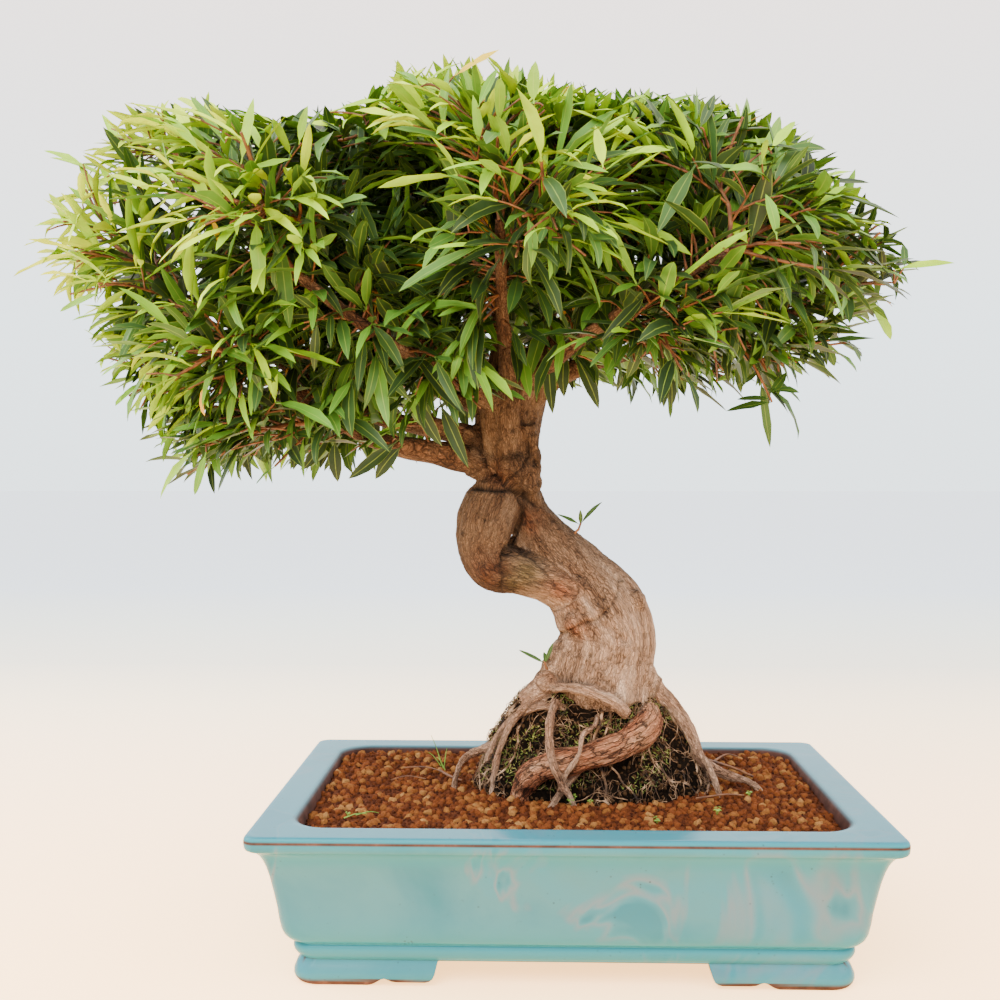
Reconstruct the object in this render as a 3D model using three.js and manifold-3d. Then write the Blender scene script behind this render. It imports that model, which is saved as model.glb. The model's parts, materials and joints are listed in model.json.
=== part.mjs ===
import * as THREE from "three";
import { mergeVertices } from "three/addons/utils/BufferGeometryUtils.js";
import Module from "manifold-3d";

// A willow leaf fig bonsai in a glazed rectangular pot, in millimetres, +Z up, front towards -Y.
// Everything is placed from the middle of the pot's footprint, on the surface that it stands on.
const wasm = await Module();
wasm.setup();

const fit = 0.3; // gap between pieces that touch
const up = new THREE.Vector3(0, 0, 1);
const tubeSide = new THREE.Vector3(0.9, 0.3, 0.1); // no tube starts along this way

// Pot: half of its length at each height, going up the outside, over the lip and down the inside.
const potLength = 400;
const potDepth = 271;
const depthLess = (potLength - potDepth) / 2;
const potOutside = [
  [15, 170, 13],
  [16, 171.5, 14],
  [19, 174, 15],
  [24.5, 175.5, 15],
  [26, 174.2, 15],
  [28, 177.5, 15],
  [36, 181.5, 15],
  [50, 183.5, 15],
  [70, 187, 14],
  [82, 191, 13],
  [89, 196, 11],
  [94, 200, 10],
  [98, 200, 10],
  [99.5, 198.5, 10],
];
const potInside = [
  [99, 176, 24],
  [96.5, 173.5, 25],
  [60, 170, 25],
  [30, 165, 25],
  [24, 158, 22],
];
const potFloor = potInside.at(-1)[0];
const cornerSteps = 3;

// Feet: a band under the pot's edge, cut away in the middle of each side and lobed at its ends.
const footTop = 16;
const footOutside = [
  [0, 173],
  [5, 175.5],
  [footTop, 171.5],
];
const footWall = 15;
const footRadius = 14;
const bandUnderside = 15;
const lobeRise = 2.6;
const gapEdge = { lean: 1.5, height: 7 };
const notchSize = { width: 5, rise: 2.5 };
const bigLobeEdge = { width: 4, rise: 1.2 };
const frontFoot = { gapEnd: 84, smallLobe: 90, notch: 117, bigLobe: 128 };
const sideFoot = { gapEnd: 58, smallLobe: 63, notch: 80, bigLobe: 87 };
const cutterReach = 260;
const cutterDrop = 10;

const drain = { x: 85, radius: 13, sides: 12 };
const screen = { width: 36, thick: 1.2, hole: 11, pitch: 14 };

// Soil: level at the edge, rising to the root ball in the middle.
const soilEdge = 90;
const soilRise = 5;
const soilRelief = 1.6;
const soilHump = { halfX: 165, halfY: 100 };
const soilWaves = { x1: 11, y1: 17, x2: 23, y2: 9 };
const soilSideSteps = 3;
const soilRings = [1, 0.93, 0.8, 0.66, 0.52, 0.36, 0.18];

// Root ball: height, half width and half depth of the old soil held between the roots.
const ballCentre = { x: 17, y: 25 };
const ballRings = [
  [62, 82, 50],
  [90, 89, 58],
  [112, 80, 51],
  [136, 68, 43],
  [156, 53, 34],
  [170, 36, 25],
];
const ballSides = 14;
const ballRelief = 2;

// Trunk: a main strand and a second one that loops in front of it, as x, y, z and radius.
const trunkLine = [
  [22, 17, 144, 27],
  [22, 16, 163, 39],
  [27, 15, 184, 34],
  [28, 15, 203, 33],
  [19, 15, 223, 32],
  [2, 16, 246, 25],
  [-16, 18, 266, 18],
  [-28, 19, 286, 15],
  [-36, 16, 303, 15],
  [-41, 15, 320, 19],
  [-42, 15, 338, 22],
  [-43, 15, 356, 24],
  [-41, 15, 374, 25],
  [-40, 15, 386, 23],
];
const loopLine = [
  [14, 7, 230, 20],
  [-12, 4, 240, 13],
  [-37, 1, 244, 14],
  [-54, 0, 254, 16.5],
  [-60, 0, 272, 19],
  [-57, 1, 290, 19],
  [-50, 6, 305, 15],
  [-43, 12, 317, 12],
];
const knots = [
  [-27, 4, 311, 9],
  [-60, 10, 342, 7],
  [-22, 8, 372, 8],
];

// Steps along each strand and sides round it, and the flutes that twist up the strands.
const facets = { trunk: [20, 12], loop: [9, 9], limb: [5, 5], rootSides: 4 };
const flutes = [
  { count: 3, twist: 9, depth: 0.045 },
  { count: 7, twist: -5, depth: 0.025 },
];

// Roots: points from inside the trunk to the soil, with the radius at both ends.
const roots = [
  { line: [[6, 4, 164], [-2, -4, 168], [11, -8, 168], [30, -9, 160], [40, -12, 150]], thick: [6, 4] },
  {
    line: [
      [42, 4, 160], [50, -6, 148], [49, -17, 130], [34, -25, 121],
      [8, -27, 117], [-19, -23, 112], [-30, -16, 98], [-33, -14, 84],
    ],
    thick: [10, 7],
  },
  {
    line: [[2, 2, 158], [-10, -10, 150], [-14, -17, 132], [-9, -26, 115], [4, -33, 98], [8, -36, 84]],
    thick: [5, 3],
  },
  {
    line: [
      [16, -2, 156], [6, -11, 153], [-9, -10, 155], [-24, -5, 153],
      [-38, 2, 145], [-50, 6, 130], [-58, 6, 112],
    ],
    thick: [4, 2.4],
  },
  {
    line: [
      [42, 15, 170], [62, 14, 163], [78, 12, 148], [88, 10, 131],
      [95, 8, 114], [112, 8, 104], [130, 7, 98], [142, 6, 86],
    ],
    thick: [7, 2.2],
  },
  { line: [[26, -4, 154], [24, -17, 141], [14, -22, 133], [8, -27, 122]], thick: [3, 2.2] },
  { line: [[6, -27, 117], [-4, -31, 104], [-16, -34, 86]], thick: [4, 2.4] },
  { line: [[90, 10, 124], [100, -2, 108], [108, -12, 86]], thick: [3, 2] },
  {
    line: [[4, 16, 154], [-30, 16, 132], [-60, 10, 121], [-74, 9, 114], [-80, 8, 100], [-82, 8, 84]],
    thick: [3.4, 2.4],
  },
  {
    line: [[-4, 15, 162], [-24, 13, 166], [-38, 14, 156], [-50, 12, 138], [-62, 8, 116], [-70, 4, 86]],
    thick: [6, 3],
  },
];
// The back of the root ball carries the same kinds of root, turned half round it.
const rootsBehind = [1, 2, 3, 5, 6, 9];

// Limbs: points from inside the trunk to the ends that carry leaves, with the radius at both ends.
const limbs = [
  {
    line: [[-45, 10, 320], [-87, 2, 331], [-134, -10, 341], [-179, -25, 368], [-225, -40, 400]],
    thick: [8, 3.6],
  },
  {
    line: [[-45, 13, 336], [-90, 12, 349], [-132, 15, 357], [-175, 24, 376], [-230, 38, 412]],
    thick: [7, 3.4],
  },
  { line: [[-46, 22, 360], [-90, 50, 377], [-140, 90, 402], [-185, 120, 432]], thick: [6.5, 3] },
  { line: [[-46, 4, 364], [-85, -40, 385], [-130, -85, 410], [-170, -115, 440]], thick: [6, 3] },
  {
    line: [[-46, 15, 376], [-49, 15, 432], [-51, 15, 475], [-55, 12, 515], [-52, 10, 545]],
    thick: [6.4, 2.8],
  },
  {
    line: [[-50, 17, 378], [-66, 20, 405], [-78, 22, 455], [-110, 25, 505], [-150, 20, 530]],
    thick: [5, 2.8],
  },
  {
    line: [[-50, 12, 370], [-100, 5, 408], [-160, 0, 452], [-215, -5, 487], [-250, -10, 503]],
    thick: [6, 3],
  },
  { line: [[-34, 12, 380], [-16, 2, 422], [5, -22, 468], [25, -50, 510]], thick: [5.8, 2.8] },
  {
    line: [[-30, 18, 380], [-7, 25, 420], [25, 40, 460], [60, 55, 495], [85, 60, 515]],
    thick: [7.5, 3],
  },
  {
    line: [[-30, 12, 376], [9, 5, 393], [56, 0, 406], [100, -5, 415], [150, -10, 427], [195, -15, 440]],
    thick: [7, 3],
  },
  { line: [[-32, 4, 378], [5, -45, 405], [45, -90, 427], [90, -120, 450]], thick: [5.6, 3] },
  { line: [[-32, 26, 378], [10, 75, 410], [60, 110, 435], [110, 130, 455]], thick: [6, 3] },
  { line: [[-40, 2, 380], [-45, -50, 418], [-45, -92, 448], [-45, -122, 470]], thick: [5.2, 2.8] },
  { line: [[-40, 30, 376], [-50, 85, 410], [-55, 130, 445]], thick: [5.4, 3] },
];

// Crown: how far the leaf tips reach from its centre at each rise, to the left and to the right.
const crownCentre = new THREE.Vector3(-57, 10, 450);
const crownRise = [-60, -45, -30, -15, 0, 15, 30, 45, 60, 90];
const crownLeft = [152, 195, 283, 287, 318, 322, 275, 190, 172, 165];
const crownRight = [93, 113, 160, 245, 308, 275, 243, 195, 166, 165];
const crownDepth = 0.66;
const crownFrontLow = 0.1;
// Rows of sprays round the crown: their rise, the turns between which they are spread, and how
// far their stems end inside the leaf tips.
const sprayRows = [
  { rise: 80, count: 3, from: 20, to: 380, inset: 68 },
  { rise: 56, count: 5, from: 0, to: 360, inset: 62 },
  { rise: 38, count: 7, from: 26, to: 386, inset: 54 },
  { rise: 23, count: 8, from: 0, to: 360, inset: 44 },
  { rise: 6, count: 9, from: 0, to: 360, inset: 38 },
  { rise: -14, count: 7, from: -55, to: 270, inset: 40 },
  { rise: -31, count: 3, from: 135, to: 255, inset: 44 },
];
const third = (2 * Math.PI) / 3;
const stemPlaces = Array.from({ length: 16 }, (_, i) => 0.25 + 0.05 * i);
const stemIdeal = 70;
const stemCosts = { bentBack: 90, leastLean: 0.5, limbEnd: 40 };
const stemBend = { low: 0.28, follow: 0.1, high: 0.66, rise: 0.05 };
const stemStartSpacing = 13;
const stemRadius = { most: 3.2, share: 0.8, tip: 1.5 };
const stemBare = 0.3;
const stemLastBud = 0.93;
const budSpacing = 15;
const budHalf = 1.8;
const twigLength = { least: 38, range: 20, low: 1.2, taper: 0.7 };
const twigArch = 0.12;
const twigRadius = [1.4, 1.1];
const twigBuds = [0.42, 0.67, 0.92];
const leafLength = { least: 42, range: 19 };
const leafWidth = { least: 9.5, range: 2.5 };
const leafDroop = { least: 0.06, range: 0.12 };
const leafStations = [
  { share: 0.36, breadth: 1, fold: 0.7, keel: 1.1 },
  { share: 0.7, breadth: 0.8, fold: 0.6, keel: 1 },
];
// Balls along a leaf that keep other pieces clear of it: their place and share of half its width.
const leafBeads = [
  [0.1, 0.6],
  [0.22, 1.25],
  [0.37, 1.2],
  [0.52, 1.15],
  [0.67, 1.05],
  [0.82, 0.8],
  [0.97, 0.5],
];
const touching = 1e-3; // closer than this, two points are one
const beadSpacing = 7;
const beadMargin = 0.8;
const beadsPassed = { stem: 26, twig: 12, leaf: 14 };
// How far a heading turns from the shoot that it leaves, tried in this order, and its outward pull.
const twigSpreads = [0.55, 0.4];
const leafSpreads = [0.62, 0.42];
const endLeafLifts = [0.1, -0.35, 0.5];
const outwardPull = 0.15;
const facingTilt = 0.35;
const seeds = { stem: 900, spray: 1000, spraySpan: 100, firstBud: 10, budSpan: 6 };
const youngAbove = 540;
const youngLeftOf = -280;

const shoots = [
  {
    name: "trunk_shoot_upper",
    line: [[-12, 15, 264], [5, 10, 275], [9, 6, 283]],
    leaves: [{ heading: [-0.85, -0.2, 0.45], length: 19 }, { heading: [0.6, -0.15, 0.8], length: 24 }],
  },
  {
    name: "trunk_shoot_lower",
    line: [[4, 6, 172], [-13, -6, 180], [-17, -9, 186]],
    leaves: [{ heading: [0.35, -0.3, 0.9], length: 17 }, { heading: [-0.9, -0.2, 0.5], length: 22 }],
  },
];
const shootRadius = 1.2;
const shootBud = 0.85;
const shootLeafWidth = 5.5;
const shootFacing = new THREE.Vector3(0, -0.7, 0.7);
const shootTaper = 0.8;

const glaze = new THREE.MeshStandardMaterial({ color: "#6bb4bd", roughness: 0.25, metalness: 0 });
const plasticBlack = new THREE.MeshStandardMaterial({ color: "#2b2c2c", roughness: 0.6, metalness: 0 });
const clayGranules = new THREE.MeshStandardMaterial({ color: "#8c4b2b", roughness: 0.95, metalness: 0 });
const oldSoil = new THREE.MeshStandardMaterial({ color: "#4b3c2e", roughness: 1, metalness: 0 });
const bark = new THREE.MeshStandardMaterial({ color: "#937b66", roughness: 0.9, metalness: 0 });
const youngLeaf = new THREE.MeshStandardMaterial({ color: "#93b63b", roughness: 0.5, metalness: 0 });
const grownLeaf = new THREE.MeshStandardMaterial({ color: "#3f7029", roughness: 0.4, metalness: 0 });

// An even draw from 0 to 1 for each whole number, the same on every run.
function draw(number) {
  const wave = Math.sin(number * 127.1 + 311.7) * 43758.5453;
  return wave - Math.floor(wave);
}

function vector([x, y, z]) {
  return new THREE.Vector3(x, y, z);
}

// The value at a place between the first and last item of a list, on straight lines between items.
function between(list, place) {
  const low = Math.min(Math.floor(place), list.length - 2);
  return list[low] + (list[low + 1] - list[low]) * (place - low);
}

function lookUp(keys, values, key) {
  const high = Math.max(1, keys.findIndex((k) => k >= key));
  return between(values, high - 1 + (key - keys[high - 1]) / (keys[high] - keys[high - 1]));
}

function curveOf(points) {
  return new THREE.CatmullRomCurve3(points, false, "catmullrom", 0.5);
}

function solidOf(geometry) {
  const bare = geometry.clone();
  bare.deleteAttribute("normal");
  bare.deleteAttribute("uv");
  const merged = mergeVertices(bare, 1e-4);
  return new wasm.Manifold(
    new wasm.Mesh({
      numProp: 3,
      vertProperties: merged.attributes.position.array,
      triVerts: new Uint32Array(merged.index.array),
    }),
  );
}

// A closed skin over rings of equally many points, the last of which may be one single point.
function loft(rings) {
  const sides = rings[0].length;
  const last = (rings.length - 1) * sides;
  const pointed = rings.at(-1).length === 1;
  const faces = [];
  for (let row = 1; row < rings.length; row++) {
    const low = (row - 1) * sides;
    const high = row * sides;
    for (let i = 0; i < sides; i++) {
      const j = (i + 1) % sides;
      if (pointed && high === last) {
        faces.push(low + i, low + j, high);
      } else {
        faces.push(low + i, low + j, high + j, low + i, high + j, high + i);
      }
    }
  }
  for (let i = 1; i + 1 < sides; i++) {
    faces.push(0, i + 1, i);
    if (!pointed) faces.push(last, last + i, last + i + 1);
  }
  return solidOf(new THREE.BufferGeometry().setFromPoints(rings.flat()).setIndex(faces));
}

function joined(solids) {
  return solids.reduce((whole, solid) => whole.add(solid));
}

function largestBody(solid) {
  return solid.decompose().sort((a, b) => b.volume() - a.volume())[0];
}

function meshOf(name, solid, material) {
  const { vertProperties, triVerts } = solid.getMesh();
  const geometry = new THREE.BufferGeometry();
  geometry.setAttribute("position", new THREE.BufferAttribute(vertProperties, 3));
  geometry.setIndex(new THREE.BufferAttribute(triVerts, 1));
  geometry.computeVertexNormals();
  const mesh = new THREE.Mesh(geometry, material);
  mesh.name = name;
  return mesh;
}

// A tube along a curve, closed at both ends, whose radius is a function of place and angle.
function tube(curve, radiusAt, steps, sides) {
  const rings = [];
  const side = tubeSide.clone();
  for (let step = 0; step <= steps; step++) {
    const place = step / steps;
    const along = curve.getTangent(place);
    side.addScaledVector(along, -side.dot(along)).normalize();
    const across = along.clone().cross(side);
    const ring = [];
    for (let i = 0; i < sides; i++) {
      const angle = (i / sides) * 2 * Math.PI;
      const out = side.clone().multiplyScalar(Math.cos(angle));
      out.addScaledVector(across, Math.sin(angle));
      ring.push(curve.getPoint(place).addScaledVector(out, radiusAt(place, angle)));
    }
    rings.push(ring);
  }
  return loft(rings);
}

function taperedTube({ line, thick: [start, end] }, [steps, sides], grow) {
  const radiusAt = (place) => start + (end - start) * place + grow;
  return tube(curveOf(line.map(vector)), radiusAt, steps, sides);
}

// A rectangle with round corners, with extra points along its straight sides if sideSteps is over 1.
function roundedRing(halfX, halfY, radius, z, sideSteps = 1) {
  const corners = [[1, 1], [-1, 1], [-1, -1], [1, -1]];
  const arcs = corners.map(([sx, sy], quarter) => {
    const arc = [];
    for (let i = 0; i <= cornerSteps; i++) {
      const angle = (quarter + i / cornerSteps) * (Math.PI / 2);
      const x = sx * (halfX - radius) + radius * Math.cos(angle);
      const y = sy * (halfY - radius) + radius * Math.sin(angle);
      arc.push(new THREE.Vector3(x, y, z));
    }
    return arc;
  });
  return arcs.flatMap((arc, quarter) => {
    const next = arcs[(quarter + 1) % 4][0];
    const extra = [];
    for (let i = 1; i < sideSteps; i++) extra.push(arc.at(-1).clone().lerp(next, i / sideSteps));
    return [...arc, ...extra];
  });
}

function potRing([z, half, radius], shrink = 0) {
  return roundedRing(half - shrink, half - depthLess - shrink, radius - shrink, z);
}

// What is cut from under the foot band, as an outline of its top edge and length along one side.
function footCutter({ gapEnd, smallLobe, notch, bigLobe }) {
  const edge = [
    [gapEnd, bandUnderside],
    [gapEnd + gapEdge.lean, gapEdge.height],
    [smallLobe, lobeRise],
    [notch - notchSize.width, lobeRise],
    [notch, lobeRise + notchSize.rise],
    [bigLobe - bigLobeEdge.width, bigLobeEdge.rise],
    [bigLobe, 0],
    [cutterReach, 0],
  ];
  const outline = [...edge, [cutterReach, -cutterDrop], [-cutterReach, -cutterDrop]];
  outline.push(...edge.map(([x, z]) => [-x, z]).reverse());
  const shape = new THREE.Shape(outline.map(([x, z]) => new THREE.Vector2(x, z)));
  const cutter = new THREE.ExtrudeGeometry(shape, { depth: 2 * cutterReach, bevelEnabled: false });
  return cutter.translate(0, 0, -cutterReach).rotateX(Math.PI / 2);
}

function makePot() {
  const bowl = loft([...potOutside, ...potInside].map((row) => potRing(row)));
  const outer = footOutside.map(([z, half]) => potRing([z, half, footRadius]));
  const inner = footOutside.map(([z, half]) => potRing([z, half - footWall, footRadius / 2]));
  const band = loft(outer).subtract(
    loft([potRing([-1, footOutside[0][1] - footWall, footRadius / 2]), ...inner.slice(1)]),
  );
  const feet = band
    .subtract(solidOf(footCutter(frontFoot)))
    .subtract(solidOf(footCutter(sideFoot).rotateZ(Math.PI / 2)));
  const holes = [-1, 1].map((side) => {
    const hole = new THREE.CylinderGeometry(drain.radius, drain.radius, potFloor * 2, drain.sides);
    return solidOf(hole.rotateX(Math.PI / 2).translate(side * drain.x, 0, potFloor));
  });
  return bowl.add(feet).subtract(holes[0]).subtract(holes[1]);
}

// A square block over a drain hole, centred on it and lying a little above the pot's floor.
function drainBlock(x, y, width, height) {
  const block = new THREE.BoxGeometry(width, width, height);
  return solidOf(block.translate(x, y, potFloor + fit + screen.thick / 2));
}

function makeScreen(x) {
  let plate = drainBlock(x, 0, screen.width, screen.thick);
  for (const column of [-0.5, 0.5]) {
    for (const row of [-0.5, 0.5]) {
      const opening = [x + column * screen.pitch, row * screen.pitch, screen.hole, screen.thick * 3];
      plate = plate.subtract(drainBlock(...opening));
    }
  }
  return plate;
}

function soilHeight(x, y) {
  const distance = Math.hypot((x - ballCentre.x) / soilHump.halfX, (y - ballCentre.y) / soilHump.halfY);
  const { x1, y1, x2, y2 } = soilWaves;
  const relief = Math.sin(x / x1 + y / y1) * Math.cos(y / y2 - x / x2);
  return soilEdge + soilRise * Math.max(0, 1 - distance) + soilRelief * relief;
}

function makeSoil() {
  const rising = [...potInside].reverse();
  const [heights, halves, radii] = [0, 1, 2].map((i) => rising.map((row) => row[i]));
  const soilRing = (half, radius, z) =>
    roundedRing(half - fit, half - depthLess - fit, radius - fit, z, soilSideSteps);
  const walls = rising
    .filter(([z]) => z < soilEdge)
    .map(([z, half, radius]) => soilRing(half, radius, z === potFloor ? z + fit : z));
  const tops = soilRings.map((share) => {
    const half = lookUp(heights, halves, soilEdge);
    const ring = soilRing(half, lookUp(heights, radii, soilEdge), 0);
    return ring.map(({ x, y }) => {
      const [px, py] = [x * share, y * share];
      return new THREE.Vector3(px, py, share === 1 ? soilEdge : soilHeight(px, py));
    });
  });
  const pockets = [-1, 1].map((side) =>
    drainBlock(side * drain.x, 0, screen.width + 2 * fit, screen.thick + 2 * fit),
  );
  return loft([...walls, ...tops]).subtract(pockets[0]).subtract(pockets[1]);
}

function makeRootBall(grow = 0) {
  const rings = ballRings.map(([z, halfX, halfY], row) => {
    const ring = [];
    for (let i = 0; i < ballSides; i++) {
      const angle = (i / ballSides) * 2 * Math.PI;
      const relief = ballRelief * (draw(row * ballSides + i) - 0.5) + grow;
      const x = ballCentre.x + (halfX + relief) * Math.cos(angle);
      const y = ballCentre.y + (halfY + relief) * Math.sin(angle);
      ring.push(new THREE.Vector3(x, y, row ? z : z - grow));
    }
    return ring;
  });
  return loft(rings);
}

// The trunk's radius with its flutes, as a share of its smooth radius.
function fluted(place, angle) {
  const swell = flutes.map(({ count, twist, depth }) => depth * Math.sin(count * angle + twist * place));
  return 1 + swell.reduce((sum, part) => sum + part);
}

function strand(line, [steps, sides], grow) {
  const radii = line.map((point) => point[3]);
  const radiusAt = (place, angle) =>
    between(radii, place * (radii.length - 1)) * fluted(place, angle) + grow;
  return tube(curveOf(line.map(vector)), radiusAt, steps, sides);
}

function turnedRoot({ line, thick }) {
  const turned = line.map(([x, y, z]) => [2 * ballCentre.x - x, 2 * ballCentre.y - y, z]);
  return { line: turned, thick };
}

const allRoots = [...roots, ...rootsBehind.map((i) => turnedRoot(roots[i]))];

// Trunk, roots and limbs grew as one piece. The grown copy cuts its seats in what touches it.
function makeTree(grow = 0) {
  const strands = [strand(trunkLine, facets.trunk, grow), strand(loopLine, facets.loop, grow)];
  const lumps = knots.map(([x, y, z, radius]) =>
    solidOf(new THREE.IcosahedronGeometry(radius + grow, 1).translate(x, y, z)),
  );
  const below = allRoots.map((root) => taperedTube(root, [root.line.length, facets.rootSides], grow));
  const above = limbs.map((limb) => taperedTube(limb, facets.limb, grow));
  return largestBody(joined([...strands, ...lumps, ...below, ...above]));
}

// Foliage: a shoot is a three-sided stem along a curve. Buds on its faces carry twigs and leaves,
// and one more leaf ends it. The whole spray is one skin, grown ring by ring.
function makeShoot(points, thick, turn, owner) {
  const chord = points.at(-1).clone().sub(points[0]).normalize();
  const axes = [new THREE.Vector3(1, 0, 0), new THREE.Vector3(0, 1, 0), up];
  const level = axes.sort((a, b) => Math.abs(a.dot(chord)) - Math.abs(b.dot(chord)))[0];
  return { curve: curveOf(points), thick, turn, owner, level, buds: [] };
}

function outFrom(shoot, place, angle) {
  const along = shoot.curve.getTangent(place);
  const side = along.clone().cross(shoot.level).normalize();
  const across = along.cross(side);
  return side.multiplyScalar(Math.cos(angle)).addScaledVector(across, Math.sin(angle));
}

function faceAngle(shoot, face) {
  return shoot.turn + (face + 0.5) * third;
}

function shootRing(shoot, place) {
  const radius = shoot.thick[0] + (shoot.thick[1] - shoot.thick[0]) * place;
  return [0, 1, 2].map((i) =>
    shoot.curve.getPoint(place).addScaledVector(outFrom(shoot, place, shoot.turn + i * third), radius),
  );
}

function leafPoint({ root, heading, facing, length, droop }, share, across, lift) {
  const side = facing.clone().cross(heading).normalize();
  const above = heading.clone().cross(side);
  const point = root.clone().addScaledVector(heading, length * share);
  point.addScaledVector(above, lift - droop * length * share * share);
  return point.addScaledVector(side, across);
}

function leafRing(leaf, { share, breadth, fold, keel }) {
  const half = (leaf.width / 2) * breadth;
  return [
    leafPoint(leaf, share, half, fold),
    leafPoint(leaf, share, -half, fold),
    leafPoint(leaf, share, 0, -keel),
  ];
}

function addRing(skin, points) {
  const first = skin.points.length;
  skin.points.push(...points);
  return points.map((_, i) => first + i);
}

// Joins two rings, each side across its shorter diagonal, so that a twisted stretch stays open.
// One triangle of an open face is left out, and is where a branch goes on from.
function ringFaces(points, low, high, open = -1) {
  const span = (a, b) => points[a].distanceTo(points[b]);
  return [0, 1, 2].flatMap((i) => {
    const [lowNext, highNext] = [low[(i + 1) % 3], high[(i + 1) % 3]];
    if (i === open) return [[low[i], highNext, high[i]]];
    return span(low[i], highNext) <= span(lowNext, high[i])
      ? [[low[i], lowNext, highNext], [low[i], highNext, high[i]]]
      : [[low[i], lowNext, high[i]], [lowNext, highNext, high[i]]];
  });
}

function joinRings(skin, low, high, open) {
  skin.faces.push(...ringFaces(skin.points, low, high, open));
  return [low[open], low[(open + 1) % 3], high[(open + 1) % 3]];
}

// Whether an edge of one triangle passes through another triangle.
function pierces(triangle, other) {
  return triangle.some((from, i) => {
    const to = triangle[(i + 1) % 3];
    const ray = new THREE.Ray(from, to.clone().sub(from).normalize());
    const hit = ray.intersectTriangle(...other, false, new THREE.Vector3());
    if (!hit || hit.distanceTo(from) > from.distanceTo(to)) return false;
    return [...triangle, ...other].every((corner) => corner.distanceTo(hit) > touching);
  });
}

// The first two faces that pass through each other, as their places in the list.
function crossing(points, faces) {
  const triangles = faces.map((face) => face.map((i) => points[i]));
  const boxes = triangles.map((triangle) => new THREE.Box3().setFromPoints(triangle));
  for (let i = 0; i < faces.length; i++) {
    for (let j = i + 1; j < faces.length; j++) {
      if (!boxes[i].intersectsBox(boxes[j])) continue;
      const [one, two] = [triangles[i], triangles[j]];
      if (pierces(one, two) || pierces(two, one)) return [i, j];
    }
  }
  return null;
}

// The order of a ring's three points that lies straightest under the next ring's and doesn't cross.
function linedUp(skin, ring, points) {
  const orders = [0, 1, 2].map((start) => [0, 1, 2].map((i) => ring[(i + start) % 3]));
  const stretch = (order) => order.reduce((sum, p, i) => sum + skin.points[p].distanceTo(points[i]), 0);
  orders.sort((a, b) => stretch(a) - stretch(b));
  const isOpen = (order) => {
    const both = [...order.map((p) => skin.points[p]), ...points];
    return !crossing(both, ringFaces(both, [0, 1, 2], [3, 4, 5]));
  };
  return orders.find(isOpen) ?? orders[0];
}

function addLeaf(skin, ring, leaf) {
  skin.pieces.push({ piece: leaf, from: skin.faces.length });
  let low = linedUp(skin, ring, leafRing(leaf, leafStations[0]));
  for (const station of leafStations) {
    const high = addRing(skin, leafRing(leaf, station));
    joinRings(skin, low, high);
    low = high;
  }
  const [tip] = addRing(skin, [leafPoint(leaf, 1, 0, 0)]);
  for (let i = 0; i < 3; i++) skin.faces.push([low[i], low[(i + 1) % 3], tip]);
}

function addShoot(skin, ring, shoot) {
  skin.pieces.push({ piece: shoot, from: skin.faces.length });
  const half = budHalf / shoot.curve.getLength();
  const places = shoot.buds.flatMap(({ place, face }) => [[place - half, -1], [place + half, face]]);
  places.push([1, -1]);
  let low = linedUp(skin, ring, shootRing(shoot, places[0][0]));
  const mouths = [];
  for (const [place, face] of places) {
    const high = addRing(skin, shootRing(shoot, place));
    const mouth = joinRings(skin, low, high, face);
    if (face >= 0) mouths.push(mouth);
    low = high;
  }
  if (shoot.leaf) addLeaf(skin, low, shoot.leaf);
  else skin.faces.push(low);
  shoot.buds.forEach(({ child }, i) => {
    if (child.curve) addShoot(skin, mouths[i], child);
    else addLeaf(skin, mouths[i], child);
  });
}

function skinOf(shoot) {
  const skin = { points: [], faces: [], pieces: [] };
  const base = addRing(skin, shootRing(shoot, 0));
  addShoot(skin, base, shoot);
  skin.faces.push([base[0], base[2], base[1]]);
  return skin;
}

function takeOff(shoot, piece) {
  if (shoot.leaf === piece) shoot.leaf = null;
  shoot.buds = shoot.buds.filter(({ child }) => child !== piece);
  for (const { child } of shoot.buds) if (child.curve) takeOff(child, piece);
}

// Of two pieces whose skins pass through each other, the leaf or the later one is taken off.
function prune(shoot) {
  for (;;) {
    const { points, faces, pieces } = skinOf(shoot);
    const pair = crossing(points, faces);
    if (!pair) return;
    const found = pair.map((face) => pieces.findLast(({ from }) => from <= face).piece);
    takeOff(shoot, found.reverse().find((piece) => !piece.curve) ?? found[0]);
  }
}

function shootSolid(shoot) {
  const { points, faces } = skinOf(shoot);
  return solidOf(new THREE.BufferGeometry().setFromPoints(points).setIndex(faces.flat()));
}

// Beads cover every piece of the plant, and a new piece grows only where its beads clear the rest.
const beads = [];

function beadsOfCurve(curve, [start, end]) {
  const count = Math.max(2, Math.ceil(curve.getLength() / beadSpacing));
  return Array.from({ length: count + 1 }, (_, i) => ({
    at: curve.getPoint(i / count),
    radius: start + ((end - start) * i) / count + 1,
  }));
}

function beadsOfLeaf(leaf) {
  return leafBeads.map(([share, size]) => ({
    at: leafPoint(leaf, share, 0, 0),
    radius: (leaf.width / 2) * size,
  }));
}

// The beads of what a new piece grows on are passed over near the point that it starts from.
function isClear(list, owner, start, passed) {
  return list.every(({ at, radius }) =>
    beads.every(
      (other) =>
        at.distanceTo(other.at) > radius + other.radius + beadMargin ||
        (other.owner === owner && other.at.distanceTo(start) < passed),
    ),
  );
}

function keep(list, owner) {
  for (const bead of list) beads.push({ ...bead, owner });
}

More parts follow.
